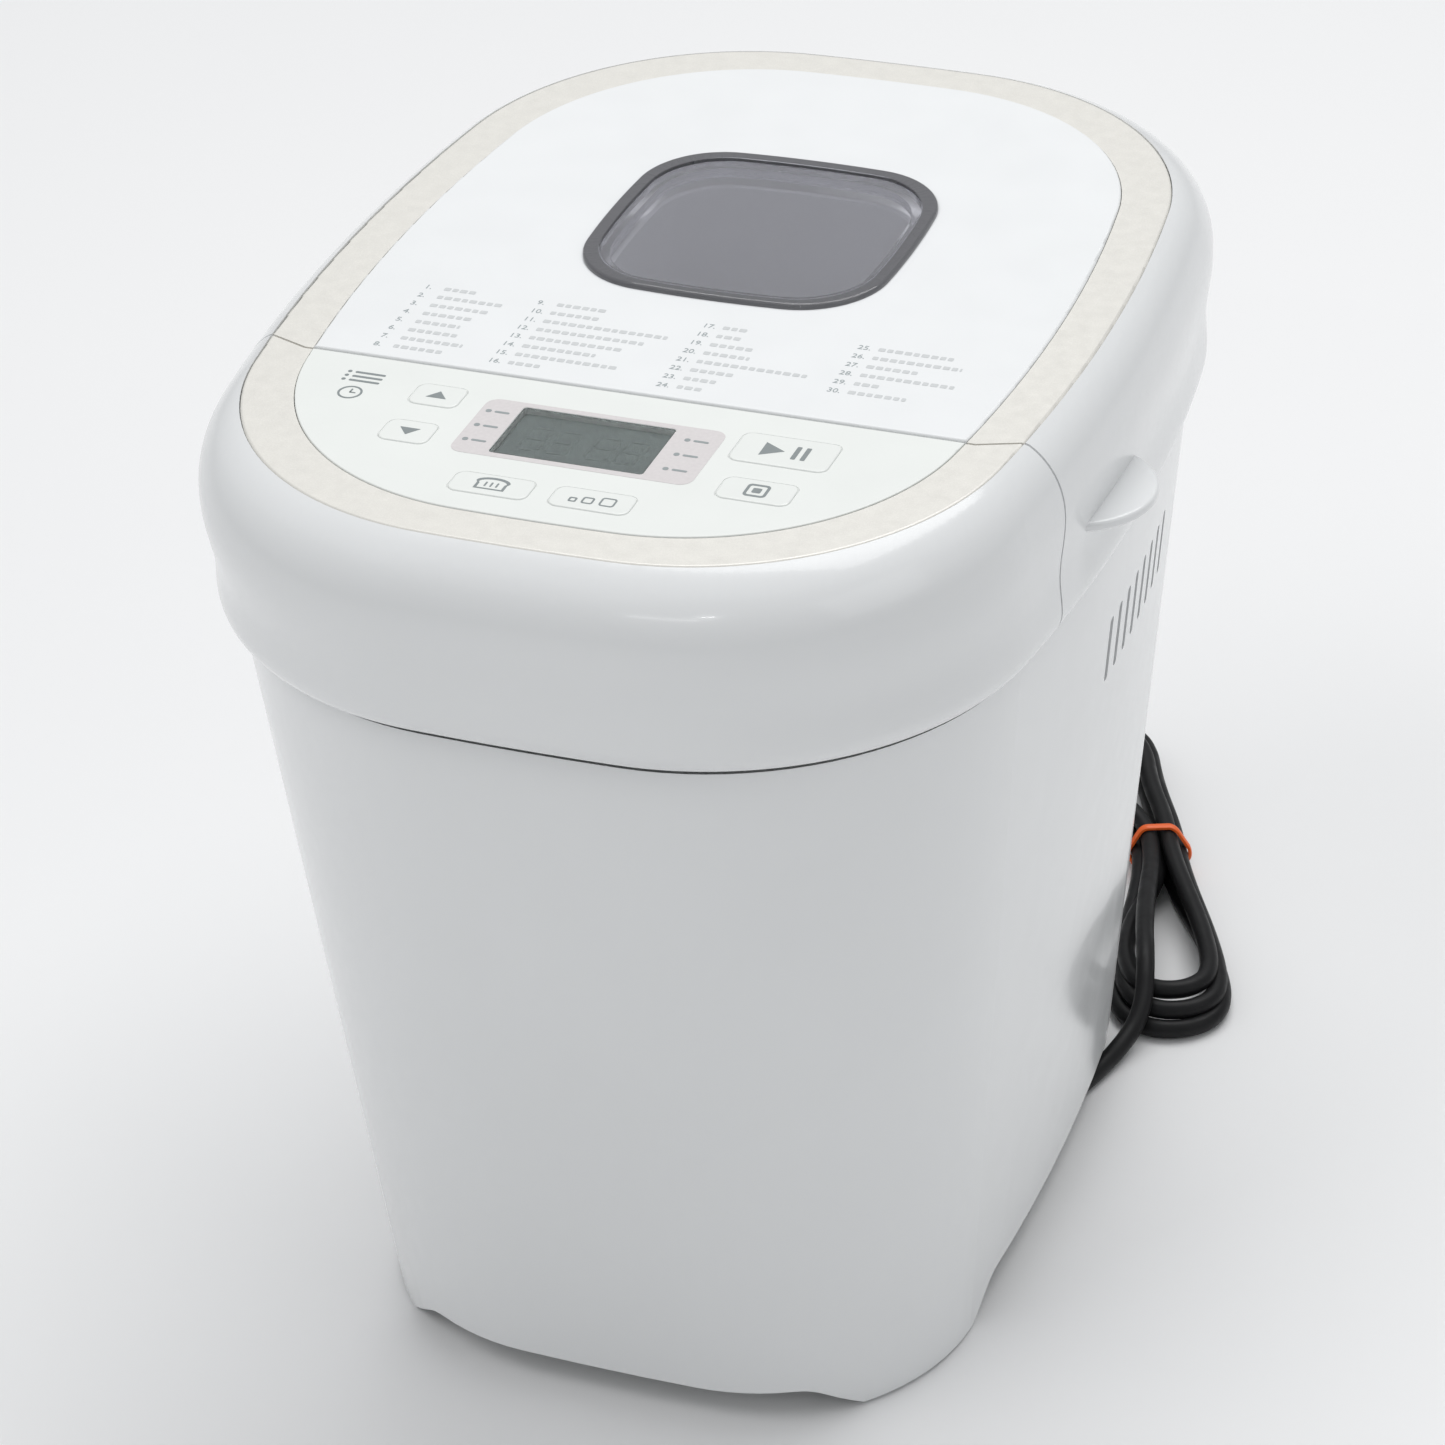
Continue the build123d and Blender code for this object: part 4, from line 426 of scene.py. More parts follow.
def settle(item):
    """Put an object's place into its mesh, so that it stands at the origin."""
    bpy.context.view_layer.update()
    item.data.transform(item.matrix_world)
    item.matrix_world = Matrix.Identity(4)
    return item


def finished(item, name, material, body, angle=35.0):
    """Name, paint, smooth and attach a piece."""
    item.name = name
    item.data.name = name
    item.data.materials.clear()
    item.data.materials.append(material)
    begin(item)
    bpy.ops.object.shade_smooth_by_angle(angle=radians(angle))
    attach(item, body)
    return item


def join(items):
    """Join objects into the first one."""
    deselect_all()
    for item in items:
        item.select_set(True)
    bpy.context.view_layer.objects.active = items[0]
    bpy.ops.object.join()
    return items[0]


def apply_modifier(item, kind, **settings):
    modifier = item.modifiers.new(kind.title(), kind)
    for key, value in settings.items():
        setattr(modifier, key, value)
    begin(item)
    bpy.ops.object.modifier_apply(modifier=modifier.name)


def outward(item):
    """Merge doubles and turn every face outwards."""
    begin(item)
    bpy.ops.object.mode_set(mode="EDIT")
    bpy.ops.mesh.select_all(action="SELECT")
    bpy.ops.mesh.remove_doubles(threshold=1e-6)
    bpy.ops.mesh.normals_make_consistent(inside=False)
    bpy.ops.object.mode_set(mode="OBJECT")


def aim(item, out, start):
    """Turn an object's +Z to a direction and move it to a place, in its mesh."""
    turn = Vector((0, 0, 1)).rotation_difference(Vector(out)).to_matrix().to_4x4()
    item.data.transform(Matrix.Translation(start) @ turn)


def block(centre, size, bevel=0.0):
    """Box at a place, with rounded edges where a bevel is given."""
    deselect_all()
    bpy.ops.mesh.primitive_cube_add(size=1, location=centre)
    item = bpy.context.object
    item.scale = size
    settle(item)
    if bevel:
        apply_modifier(item, "BEVEL", width=bevel, segments=2, limit_method="ANGLE")
    return item


def cut_away(item, tool):
    """Cut one object out of another, and remove it."""
    apply_modifier(item, "BOOLEAN", object=tool, solver="EXACT")
    bpy.data.objects.remove(tool)


def drill(item, centre, radius, length):
    """Cut a round hole along X."""
    deselect_all()
    bpy.ops.mesh.primitive_cylinder_add(
        vertices=24, radius=radius, depth=length, location=centre, rotation=(0, pi / 2, 0))
    cut_away(item, settle(bpy.context.object))


def made_of(shape, name):
    """Object with the mesh of a bmesh, which is freed."""
    mesh = bpy.data.meshes.new(name)
    shape.to_mesh(mesh)
    shape.free()
    item = bpy.data.objects.new(name, mesh)
    bpy.context.collection.objects.link(item)
    return item


def bridge(shape, rim, other):
    """Faces between two closed rims with the same number of corners."""
    for index in range(len(rim)):
        after = (index + 1) % len(rim)
        shape.faces.new((rim[index], rim[after], other[after], other[index]))


def raised(item, rise):
    """Pull a flat sheet up into a solid."""
    begin(item)
    bpy.ops.object.mode_set(mode="EDIT")
    bpy.ops.mesh.select_all(action="SELECT")
    bpy.ops.mesh.extrude_region_move(TRANSFORM_OT_translate={"value": (0, 0, rise)})
    bpy.ops.mesh.select_all(action="SELECT")
    bpy.ops.mesh.normals_make_consistent(inside=False)
    bpy.ops.object.mode_set(mode="OBJECT")
    return item


def plate(outline, low, high):
    """Flat plate with an outline of points, between two heights."""
    shape = bmesh.new()
    shape.faces.new([shape.verts.new((x, y, low)) for x, y in outline])
    return raised(made_of(shape, "plate"), high - low)


def framed_plate(outer, inner, low, high):
    """Flat frame between two outlines with the same number of points."""
    shape = bmesh.new()
    rims = [[shape.verts.new((x, y, low)) for x, y in outline] for outline in (outer, inner)]
    bridge(shape, *rims)
    return raised(made_of(shape, "frame"), high - low)


def rounded_outline(x, y, width, depth, radius, steps=6):
    """Points of a rectangle with round corners."""
    points = []
    corners = ((1, 1, 0), (-1, 1, 90), (-1, -1, 180), (1, -1, 270))
    for side_x, side_y, start in corners:
        centre_x = x + side_x * (width / 2 - radius)
        centre_y = y + side_y * (depth / 2 - radius)
        for step in range(steps + 1):
            angle = radians(start + 90 * step / steps)
            points.append((centre_x + radius * cos(angle), centre_y + radius * sin(angle)))
    return points


def round_outline(x, y, radius, steps=28):
    angles = [tau * step / steps for step in range(steps)]
    return [(x + radius * cos(angle), y + radius * sin(angle)) for angle in angles]


def pad(x, y, width, depth, radius, low, high, steps=3):
    """Flat plate with round corners, centred on a place."""
    return plate(rounded_outline(x, y, width, depth, radius, steps), low, high)


FONT_SIZE_PER_HEIGHT = 1.42


def words(text, x, y, height, low, thick):
    """Numerals as a thin mesh whose lower left corner stands at a place."""
    deselect_all()
    bpy.ops.object.text_add(location=(0, 0, 0))
    item = bpy.context.object
    item.data.body = text
    item.data.size = height * FONT_SIZE_PER_HEIGHT
    item.data.extrude = thick / 2
    item.data.resolution_u = 3
    begin(item)
    bpy.ops.object.convert(target="MESH")
    item = bpy.context.object
    item.location = (x, y, low + thick / 2)
    return settle(item)


def spun(profile, along, start, sides=40):
    """Solid turned from (distance, radius) pairs about a line from a start point."""
    shape = bmesh.new()
    line = [shape.verts.new((radius, 0, distance)) for distance, radius in profile]
    for before, after in zip(line, line[1:]):
        shape.edges.new((before, after))
    item = begin(made_of(shape, "turned"))
    bpy.ops.object.mode_set(mode="EDIT")
    bpy.ops.mesh.select_all(action="SELECT")
    bpy.ops.mesh.spin(steps=sides, angle=tau, center=(0, 0, 0), axis=(0, 0, 1), use_auto_merge=True)
    bpy.ops.object.mode_set(mode="OBJECT")
    outward(item)
    aim(item, along, start)
    return item


# ---------------------------------------------------------------- cord route
# Runs through the tie, as across and height; the cord goes up one and down the next
UP_RUNS = ((0.0031, 0.0136), (0.0, 0.0083), (0.0062, 0.0083), (0.0031, 0.00305))
DOWN_RUNS = ((-0.0031, 0.0136), (-0.0062, 0.0083), (-0.0031, 0.00305))
# Folds at the two ends, as centre, side, radius and the heights where each starts and ends
HIGH_FOLDS = (
    (0.048, 0.0125, 0.0125, (0.0225, 0.0145)),
    (0.056, 0.0125, 0.0150, (0.0170, 0.0092)),
    (0.062, 0.0175, 0.0172, (0.0115, 0.0034)),
)
LOW_FOLDS = (
    (-0.068, 0.0035, 0.0130, (0.0108, 0.0106)),
    (-0.0722, 0.0030, 0.0150, (0.0073, 0.0073)),
    (-0.0745, 0.0040, 0.0170, (0.00305, 0.00305)),
)
TIE_REACH = 0.012  # half length of the straight run through the tie
HIGH_EASE, LOW_EASE = 0.016, 0.018  # how far before a fold its guiding point stands
# Where the lead climbs over the hank, as along, across and height
OVER_LOOPS = ((-0.074, 0.0115, 0.0192), (-0.058, 0.0105, 0.0197), (-0.036, 0.0075, 0.0176))


def on_hank(along, across, height):
    """Point of the hank: along its runs, across them, above the floor."""
    return TIE_AT + HANK_ALONG * along + HANK_ACROSS * across + Vector((0, 0, height))


def fold(centre, side, radius, start_angle, heights):
    """Points round one end of the hank, turning half a circle the same way every time."""
    steps = 4
    step = pi / steps
    out = radius / cos(step / 2)
    points = []
    for index in range(steps):
        angle = start_angle - step * (index + 0.5)
        share = (index + 0.5) / steps
        height = heights[0] + (heights[1] - heights[0]) * share
        points.append(on_hank(centre + out * cos(angle), side + out * sin(angle), height))
    return points


def cord_route():
    """Control points of the whole cord: lead, hank turns and tail."""
    route = [Vector(point) for point in LEAD_POINTS]
    route += [on_hank(*place) for place in OVER_LOOPS]
    for index in range(len(DOWN_RUNS)):
        up, down = UP_RUNS[index], DOWN_RUNS[index]
        route += [on_hank(-TIE_REACH, *up), on_hank(TIE_REACH, *up)]
        centre, side, radius, heights = HIGH_FOLDS[index]
        route.append(on_hank(centre - HIGH_EASE, side + radius, heights[0]))
        route += fold(centre, side, radius, pi / 2, heights)
        route.append(on_hank(centre - HIGH_EASE, side - radius, heights[1]))
        route += [on_hank(TIE_REACH, *down), on_hank(-TIE_REACH, *down)]
        centre, side, radius, heights = LOW_FOLDS[index]
        route.append(on_hank(centre + LOW_EASE, side - radius, heights[0]))
        route += fold(centre, side, radius, -pi / 2, heights)
        route.append(on_hank(centre + LOW_EASE, side + radius, heights[1]))
    route += [on_hank(-TIE_REACH, *UP_RUNS[-1]), on_hank(TIE_REACH, *UP_RUNS[-1])]
    route += [Vector(point) for point in TAIL_POINTS]
    return route


# ---------------------------------------------------------------- stage
class BREADMACHINE_OT_stage(bpy.types.Operator):
    """Make the pale floor, the soft studio light and the camera"""

    bl_idname = "bread_machine.stage"
    bl_label = "Stage"

    def execute(self, context):
        sizes = context.scene.bread_sizes
        scene = context.scene
        deselect_all()
        bpy.ops.mesh.primitive_plane_add(size=60, location=(0, 0, -FLOOR_DROP))
        floor = settle(context.object)
        floor.name = "studio_floor"
        paper = Finish("pale_paper", (0.9, 0.9, 0.9), 0.7)
        paper.tint(paper.noise(3, 2), (0.885, 0.885, 0.89))
        floor.data.materials.append(paper.material)
        world = bpy.data.worlds.new("soft_studio")
        world.use_nodes = True
        world.node_tree.nodes["Background"].inputs["Color"].default_value = (0.96, 0.98, 1.0, 1)
        world.node_tree.nodes["Background"].inputs["Strength"].default_value = 0.40
        scene.world = world
        # name, place, aim, width, depth and watts
        lamps = (
            ("key_softbox", (-1.0, -1.2, 2.3), (0, -0.05, 0.15), 1.4, 1.0, 13),
            ("fill_softbox", (1.9, -0.6, 1.3), (0, 0, 0.15), 1.2, 1.2, 3.0),
            ("top_softbox", (0.1, 0.9, 2.3), (0, 0, 0.2), 2.2, 1.6, 34),
            ("strip_light", (0.05, -1.7, 1.55), (0, -0.16, 0.28), 0.75, 0.018, 0.8),
            ("small_panel", (0.45, -1.5, 1.6), (0, -0.16, 0.28), 0.12, 0.05, 0.5),
        )
        for name, place, target, width, depth, power in lamps:
            light = bpy.data.lights.new(name, "AREA")
            light.shape = "RECTANGLE"
            light.size = width
            light.size_y = depth
            light.energy = power
            lamp = bpy.data.objects.new(name, light)
            lamp.location = place
            lamp.rotation_euler = (Vector(target) - Vector(place)).to_track_quat("-Z", "Y").to_euler()
            lamp.visible_glossy = name != "key_softbox"
            scene.collection.objects.link(lamp)
        view = bpy.data.cameras.new("studio_camera")
        view.lens = sizes.camera_lens
        view.sensor_width = 36
        camera = bpy.data.objects.new("studio_camera", view)
        camera.location = sizes.camera_place
        camera.rotation_euler = sizes.camera_turn
        scene.collection.objects.link(camera)
        scene.camera = camera
        scene.view_settings.view_transform = "Standard"
        return {"FINISHED"}


# ---------------------------------------------------------------- finishes of the frame's nodes
NODE_FINISHES = {
    gloss_shell: ("lower_body_shell", "upper_front_shell", "lid_shell"),
    lid_panel_finish: ("lid_top_panel",),
    film_finish: ("control_panel",),
    key_finish: KEY_NAMES,
    ring_finish: ("front_trim_ring", "lid_trim_ring"),
    smoked_finish: ("window_lens",),
    display_finish: ("lcd_module",),
}
PLAIN_FINISHES = {
    clear_finish: ("inner_window_glass", "lcd_window"),
    board_finish: ("control_board", "power_board"),
    zinc_finish: ("oven_chamber", "chassis_plate", "lid_inner_plate", "pan_socket", "top_deck"),
    coated_pan_finish: ("bread_pan", "kneading_paddle"),
    cast_finish: ("pan_foot", "pan_coupling", "drive_coupling", "pan_bushing"),
    ceramic_finish: ("element_bushings",),
    element_finish: ("heating_element",),
    silicone_finish: ("window_seal",),
    rubber_finish: ("rubber_feet", "drive_belt"),
}
STEEL_NODES = (
    "base_screws", "hinge_pins", "drive_shaft", "motor_shaft", "paddle_shaft", "handle_pivots",
    "pan_handle", "temperature_probe", "motor", "drive_bearing",
)
WHITE_NODES = ("base_plate", "body_hinge_brackets", "lid_hinge_brackets", "window_frame")
DARK_NODES = ("cord_gland", "driven_pulley", "motor_pulley", "motor_fan", "standoffs")


class BREADMACHINE_OT_finishes(bpy.types.Operator):
    """Give every carried node its finish"""

    bl_idname = "bread_machine.finishes"
    bl_label = "Node finishes"

    def execute(self, context):
        colours = context.scene.bread_colours
        jobs = [(make(colours), nodes) for make, nodes in NODE_FINISHES.items()]
        jobs += [(make(), nodes) for make, nodes in PLAIN_FINISHES.items()]
        jobs.append((brushed("drawn_steel", (0.6, 0.6, 0.61), 0.28), STEEL_NODES))
        jobs.append((moulded("inner_white_plastic", (0.72, 0.73, 0.72), 0.42), WHITE_NODES))
        jobs.append((moulded("dark_nylon", (0.035, 0.036, 0.04), 0.45), DARK_NODES))
        for material, nodes in jobs:
            for name in nodes:
                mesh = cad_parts[name].data
                mesh.materials.clear()
                mesh.materials.append(material)
        return {"FINISHED"}


# ---------------------------------------------------------------- cord, tie and plug
class BREADMACHINE_OT_cord(bpy.types.Operator):
    """Lay the mains cord: out from under the body, folded in a tied hank, and on to its plug"""

    bl_idname = "bread_machine.cord"
    bl_label = "Mains cord"

    def execute(self, context):
        sizes = context.scene.bread_sizes
        route = cord_route()
        curve = bpy.data.curves.new("mains_cord", "CURVE")
        curve.dimensions = "3D"
        curve.bevel_depth = sizes.cord_diameter / 2
        curve.bevel_resolution = 5
        curve.use_fill_caps = True
        spline = curve.splines.new("NURBS")
        spline.points.add(len(route) - 1)
        for point, place in zip(spline.points, route):
            point.co = (*place, 1)
        spline.order_u = 3
        spline.use_endpoint_u = True
        curve.resolution_u = 8
        cord = bpy.data.objects.new("mains_cord", curve)
        context.scene.collection.objects.link(cord)
        curve.materials.append(cord_finish(context.scene.bread_colours))
        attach(cord, "body")
        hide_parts("power_cord_lead", "power_cord_hank", "power_cord_tail")
        return {"FINISHED"}


class BREADMACHINE_OT_strain_relief(bpy.types.Operator):
    """Make the tapered, ribbed sleeve where the cord leaves the gland"""

    bl_idname = "bread_machine.strain_relief"
    bl_label = "Strain relief"

    def execute(self, context):
        sizes = context.scene.bread_sizes
        start, after = Vector(LEAD_POINTS[0]), Vector(LEAD_POINTS[1])
        along = (after - start).normalized()
        wide, narrow = 0.0043, 0.0033
        groove = 0.0004
        inside = 0.006
        bore = sizes.cord_diameter / 2 + 0.00003
        ribs = 7
        profile = [(0.0, bore), (0.0, wide)]
        for rib in range(ribs):
            share = (rib + 0.4) / ribs
            radius = wide + (narrow - wide) * share
            place = sizes.relief_length * share
            rise = sizes.relief_length / ribs
            profile += [
                (place, radius), (place + rise * 0.12, radius - groove),
                (place + rise * 0.38, radius - groove), (place + rise * 0.5, radius - groove / 4),
            ]
        profile += [(sizes.relief_length, narrow - 0.0002), (sizes.relief_length, bore), (0.0, bore)]
        sleeve = spun(profile, along, start - along * inside)
        material = rubber_finish("relief_rubber", (0.018, 0.018, 0.019), 0.5)
        finished(sleeve, "strain_relief", material, "body")
        return {"FINISHED"}


class BREADMACHINE_OT_cord_tie(bpy.types.Operator):
    """Make the orange band that holds the hank"""

    bl_idname = "bread_machine.cord_tie"
    bl_label = "Cord tie"

    def execute(self, context):
        strand = context.scene.bread_sizes.cord_diameter / 2 + 0.0007
        runs = UP_RUNS + DOWN_RUNS
        steps = 48
        middle = sum(height for across, height in runs) / len(runs)
        # Reach of the band from its middle, in each direction round the bundle
        reaches = []
        for step in range(steps):
            angle = tau * step / steps
            ends = [across * cos(angle) + (height - middle) * sin(angle) for across, height in runs]
            reaches.append((max(ends) + strand, angle))
        half, thick = 0.0013, 0.0004
        section = (
            (-half, -thick), (-half, thick), (-half * 0.6, thick * 1.9),
            (half * 0.6, thick * 1.9), (half, thick), (half, -thick),
        )
        lowest_middle, lowest_edge = 0.0006, 0.0002
        shape = bmesh.new()
        loops = []
        for index, (reach, angle) in enumerate(reaches):
            after_reach, after_angle = reaches[(index + 1) % steps]
            cross = cos(after_angle - angle)
            span = sin(after_angle - angle)
            slide = (after_reach - reach * cross) / span
            across = reach * cos(angle) - slide * sin(angle)
            height = max(lowest_middle, reach * sin(angle) + slide * cos(angle) + middle)
            lean = 0.0016 * sin(angle + 0.6)
            loop = []
            for along, out in section:
                side = across + out * cos(angle)
                level = max(lowest_edge, height + out * sin(angle))
                loop.append(shape.verts.new(on_hank(along + lean, side, level)))
            loops.append(loop)
        for index, loop in enumerate(loops):
            bridge(shape, loop, loops[(index + 1) % steps])
        band = made_of(shape, "cord_tie_band")
        outward(band)
        finished(band, "cord_tie_band", tie_finish(context.scene.bread_colours), "body", 50)
        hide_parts("cord_tie")
        return {"FINISHED"}


class BREADMACHINE_OT_plug(bpy.types.Operator):
    """Make the moulded two-pin plug with its grip ribs and drilled blades"""

    bl_idname = "bread_machine.plug"
    bl_label = "Plug"

    def execute(self, context):
        last, before = Vector(TAIL_POINTS[-1]), Vector(TAIL_POINTS[-2])
        along = (last - before).normalized()
        sideways = along.cross(Vector((0, 0, 1))).normalized()
        upward = sideways.cross(along).normalized()
        place = Matrix((
            (sideways.x, along.x, upward.x, last.x),
            (sideways.y, along.y, upward.y, last.y),
            (sideways.z, along.z, upward.z, last.z),
            (0, 0, 0, 1),
        ))
        # Distance from the cord's end, half width and half height
        stations = (
            (-0.0015, 0.0036, 0.0036), (0.004, 0.0044, 0.0042), (0.010, 0.0098, 0.0060),
            (0.014, 0.0112, 0.0064), (0.016, 0.0106, 0.0058), (0.019, 0.0106, 0.0058),
            (0.021, 0.0112, 0.0064), (0.023, 0.0106, 0.0058), (0.026, 0.0108, 0.0060),
            (0.028, 0.0122, 0.0068), (0.030, 0.0121, 0.0067),
        )
        shape = bmesh.new()
        rims = []
        for distance, half_width, half_height in stations:
            round_off = min(half_width, half_height) * 0.72
            outline = rounded_outline(0, 0, 2 * half_width, 2 * half_height, round_off, 5)
            rims.append([shape.verts.new((x, distance, z)) for x, z in outline])
        for rim, after in zip(rims, rims[1:]):
            bridge(shape, rim, after)
        shape.faces.new(rims[0])
        shape.faces.new(rims[-1])
        housing = made_of(shape, "plug_housing")
        outward(housing)
        apply_modifier(
            housing, "BEVEL", width=0.0005, segments=3, limit_method="ANGLE", angle_limit=radians(50))
        housing.data.transform(place)
        material = rubber_finish("plug_vinyl", (0.014, 0.014, 0.015), 0.42)
        finished(housing, "plug_housing", material, "body", 40)
        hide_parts("plug_body")
        blades = []
        half_pitch = 0.00635
        for x in (-half_pitch, half_pitch):
            blade = block((x, 0.0385, 0), (0.0015, 0.0170, 0.0063), 0.0004)
            drill(blade, (x, 0.0432, 0), 0.0016, 0.004)
            blades.append(blade)
        pair = join(blades)
        pair.data.transform(place)
        brass = brushed("nickel_brass", (0.66, 0.6, 0.48), 0.24, (900, 60, 900))
        finished(pair, "plug_blades", brass, "body")
        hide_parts("plug_pins")
        return {"FINISHED"}


# ---------------------------------------------------------------- small fittings
def screw_head(place, out, radius=0.0026, height=0.0011):
    """Domed screw head with a cross recess, facing out along a direction."""
    profile = ((0, 0.0001), (0, radius), (height * 0.45, radius), (height * 0.85, radius * 0.72),
               (height, radius * 0.3), (height, 0.0001))
    head = spun(profile, (0, 0, 1), Vector((0, 0, 0)), 24)
    for turn in (0, pi / 2):
        bar = block((0, 0, height), (radius * 1.1, radius * 0.24, height * 0.9))
        bar.data.transform(Matrix.Rotation(turn, 4, "Z"))
        cut_away(head, bar)
    aim(head, out, place)
    return head


class BREADMACHINE_OT_screws(bpy.types.Operator):
    """Put screws on the hinge leaves and under the lid's inner plate"""

    bl_idname = "bread_machine.screws"
    bl_label = "Screws"

    def execute(self, context):
        low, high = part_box("hinge_pins")
        hinge_x, axis_y, axis_z = high.x, (low.y + high.y) / 2, (low.z + high.z) / 2
        steel = brushed("zinc_plated_screw", (0.62, 0.61, 0.58), 0.3, (500, 500, 500))
        leaf_y = axis_y + 0.00265
        leaf_middle = hinge_x - 0.0154
        from_axis = 0.0160
        half_apart = 0.0114
        lean = 0.06
        low_places = [Vector((side * leaf_middle, leaf_y, axis_z - from_axis)) for side in (-1, 1)]
        body_screws = [screw_head(place, (0, 1, -lean)) for place in low_places]
        finished(join(body_screws), "hinge_screws_body", steel, "body")
        across = [side * leaf_middle + step for side in (-1, 1) for step in (-half_apart, half_apart)]
        lid_screws = [screw_head(Vector((x, leaf_y, axis_z + from_axis)), (0, 1, lean)) for x in across]
        finished(join(lid_screws), "hinge_screws_lid", steel, "lid")
        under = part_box("lid_inner_plate")[0].z
        half_spots = ((0.088, -0.035), (0.094, 0.045), (0.062, 0.122))
        spots = [(side * x, y) for x, y in half_spots for side in (-1, 1)]
        plate_screws = [screw_head(Vector((x, y, under)), (0, 0, -1)) for x, y in spots]
        finished(join(plate_screws), "lid_plate_screws", steel, "lid")
        return {"FINISHED"}


class BREADMACHINE_OT_motor_windings(bpy.types.Operator):
    """Wind the copper coils that show above and below the motor's core"""

    bl_idname = "bread_machine.motor_windings"
    bl_label = "Motor windings"

    def execute(self, context):
        low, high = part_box("motor")
        x, y = (low.x + high.x) / 2, (low.y + high.y) / 2
        coils = []
        for height in (low.z + 0.0095, high.z - 0.0040):
            deselect_all()
            bpy.ops.mesh.primitive_torus_add(
                location=(x, y, height), major_radius=0.0265, minor_radius=0.0036,
                major_segments=64, minor_segments=14)
            coil = begin(settle(context.object))
            bpy.ops.object.mode_set(mode="EDIT")
            bpy.ops.mesh.select_all(action="SELECT")
            bpy.ops.mesh.vertices_smooth(factor=0.3)
            bpy.ops.object.mode_set(mode="OBJECT")
            coils.append(coil)
        finished(join(coils), "motor_windings", copper_finish(), "body")
        return {"FINISHED"}


# ---------------------------------------------------------------- display and prints
class BREADMACHINE_OT_display(bpy.types.Operator):
    """Print the display's surround, its six small marks and its unlit digits"""

    bl_idname = "bread_machine.display"
    bl_label = "Display surround"

    def execute(self, context):
        thick = context.scene.bread_sizes.print_thick
        colours = context.scene.bread_colours
        low = CONTROL_TOP + INK_LIFT
        width = DISPLAY_HIGH.x - DISPLAY_LOW.x
        depth = DISPLAY_HIGH.y - DISPLAY_LOW.y
        x, y = DISPLAY_CENTRE.x, DISPLAY_CENTRE.y
        outer = rounded_outline(x + 0.0015, y, width + 0.0245, depth + 0.0045, 0.0035)
        inner = rounded_outline(x, y, width + 0.0004, depth + 0.0004, 0.001)
        surround = framed_plate(outer, inner, low, low + thick)
        finished(surround, "display_surround", ink_finish("mauve_grey_ink", tuple(colours.surround)),
                 "body", 20)
        marks = []
        top = low + 2 * thick
        for side in (-1, 1):
            for row in (-1, 0, 1):
                mark_x = x + 0.0015 * (side > 0) + side * (width / 2 + 0.0058)
                mark_y = y + row * 0.0078
                marks.append(pad(mark_x - 0.0026, mark_y, 0.0016, 0.0016, 0.0007, low + thick, top))
                marks.append(pad(mark_x + 0.0012, mark_y, 0.0042, 0.0009, 0.0004, low + thick, top))
        ink = ink_finish("display_mark_ink", shade(tuple(colours.ink), 1.25))
        finished(join(marks), "display_marks", ink, "body", 20)
        cell_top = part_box("lcd_module")[1].z
        digits = []
        ghost = shade(tuple(colours.display), 0.9)
        for place in (-0.0135, -0.0055, 0.0055, 0.0135):
            digits += seven_segments(x + place, y, 0.0058, 0.0115, cell_top)
        finished(join(digits), "display_digits", ink_finish("unlit_segments", ghost), "body", 20)
        return {"FINISHED"}


def seven_segments(x, y, width, height, low):
    """Seven thin bars of one unlit digit."""
    bar, gap, lean = 0.0009, 0.0004, 0.06
    bars = []
    for row in (-1, 0, 1):
        bars.append((0, row * height / 2, width - bar - gap, bar))
    for side in (-1, 1):
        for row in (-1, 1):
            bars.append((side * width / 2, row * height / 4, bar, height / 2 - bar - gap))
    made = []
    for dx, dy, bar_width, bar_height in bars:
        made.append(pad(x + dx + lean * dy, y + dy, bar_width, bar_height, bar * 0.45,
                        low + INK_LIFT, low + 4 * INK_LIFT))
    return made


def icon_parts(name, x, y, low, high):
    """Flat shapes of one key's mark."""
    if name in ("key_menu_up", "key_menu_down"):
        way = 1 if name.endswith("up") else -1
        arrow = [(x - 0.0029, y - way * 0.0016), (x + 0.0029, y - way * 0.0016), (x, y + way * 0.0020)]
        return [plate(arrow[::way], low, high)]
    if name == "key_start":
        triangle = [(x - 0.0062, y - 0.0034), (x - 0.0002, y), (x - 0.0062, y + 0.0034)]
        bars = [pad(x + dx, y, 0.0013, 0.0066, 0.0003, low, high) for dx in (0.0030, 0.0056)]
        return [plate(triangle, low, high), *bars]
    if name == "key_cancel":
        outer = rounded_outline(x, y, 0.0062, 0.0062, 0.0012, 4)
        inner = rounded_outline(x, y, 0.0046, 0.0046, 0.0006, 4)
        return [framed_plate(outer, inner, low, high), pad(x, y, 0.0024, 0.0024, 0.0004, low, high)]
    if name == "key_crust":
        loaf = [(x - 0.0042, y - 0.0026), (x + 0.0042, y - 0.0026), (x + 0.0042, y + 0.0004)]
        angles = [step * pi / 12 for step in range(13)]
        crown = [(x + 0.0047 * cos(angle), y + 0.0012 + 0.0022 * sin(angle)) for angle in angles]
        outer = loaf + crown + [(x - 0.0042, y + 0.0004)]
        inner = [(x + (px - x) * 0.82, y - 0.0001 + (py - y) * 0.76) for px, py in outer]
        lines = [pad(x + dx, y - 0.0001, 0.0005, 0.0022, 0.0002, low, high, 2) for dx in (-0.0016, 0, 0.0016)]
        return [framed_plate(outer, inner, low, high), *lines]
    squares = []
    for dx, side in ((-0.0050, 0.0022), (-0.0010, 0.0032), (0.0043, 0.0042)):
        middle = y - 0.0022 + side / 2
        outer = rounded_outline(x + dx, middle, side, side, side * 0.22, 4)
        inner = rounded_outline(x + dx, middle, side - 0.0010, side - 0.0010, side * 0.12, 4)
        squares.append(framed_plate(outer, inner, low, high))
    return squares


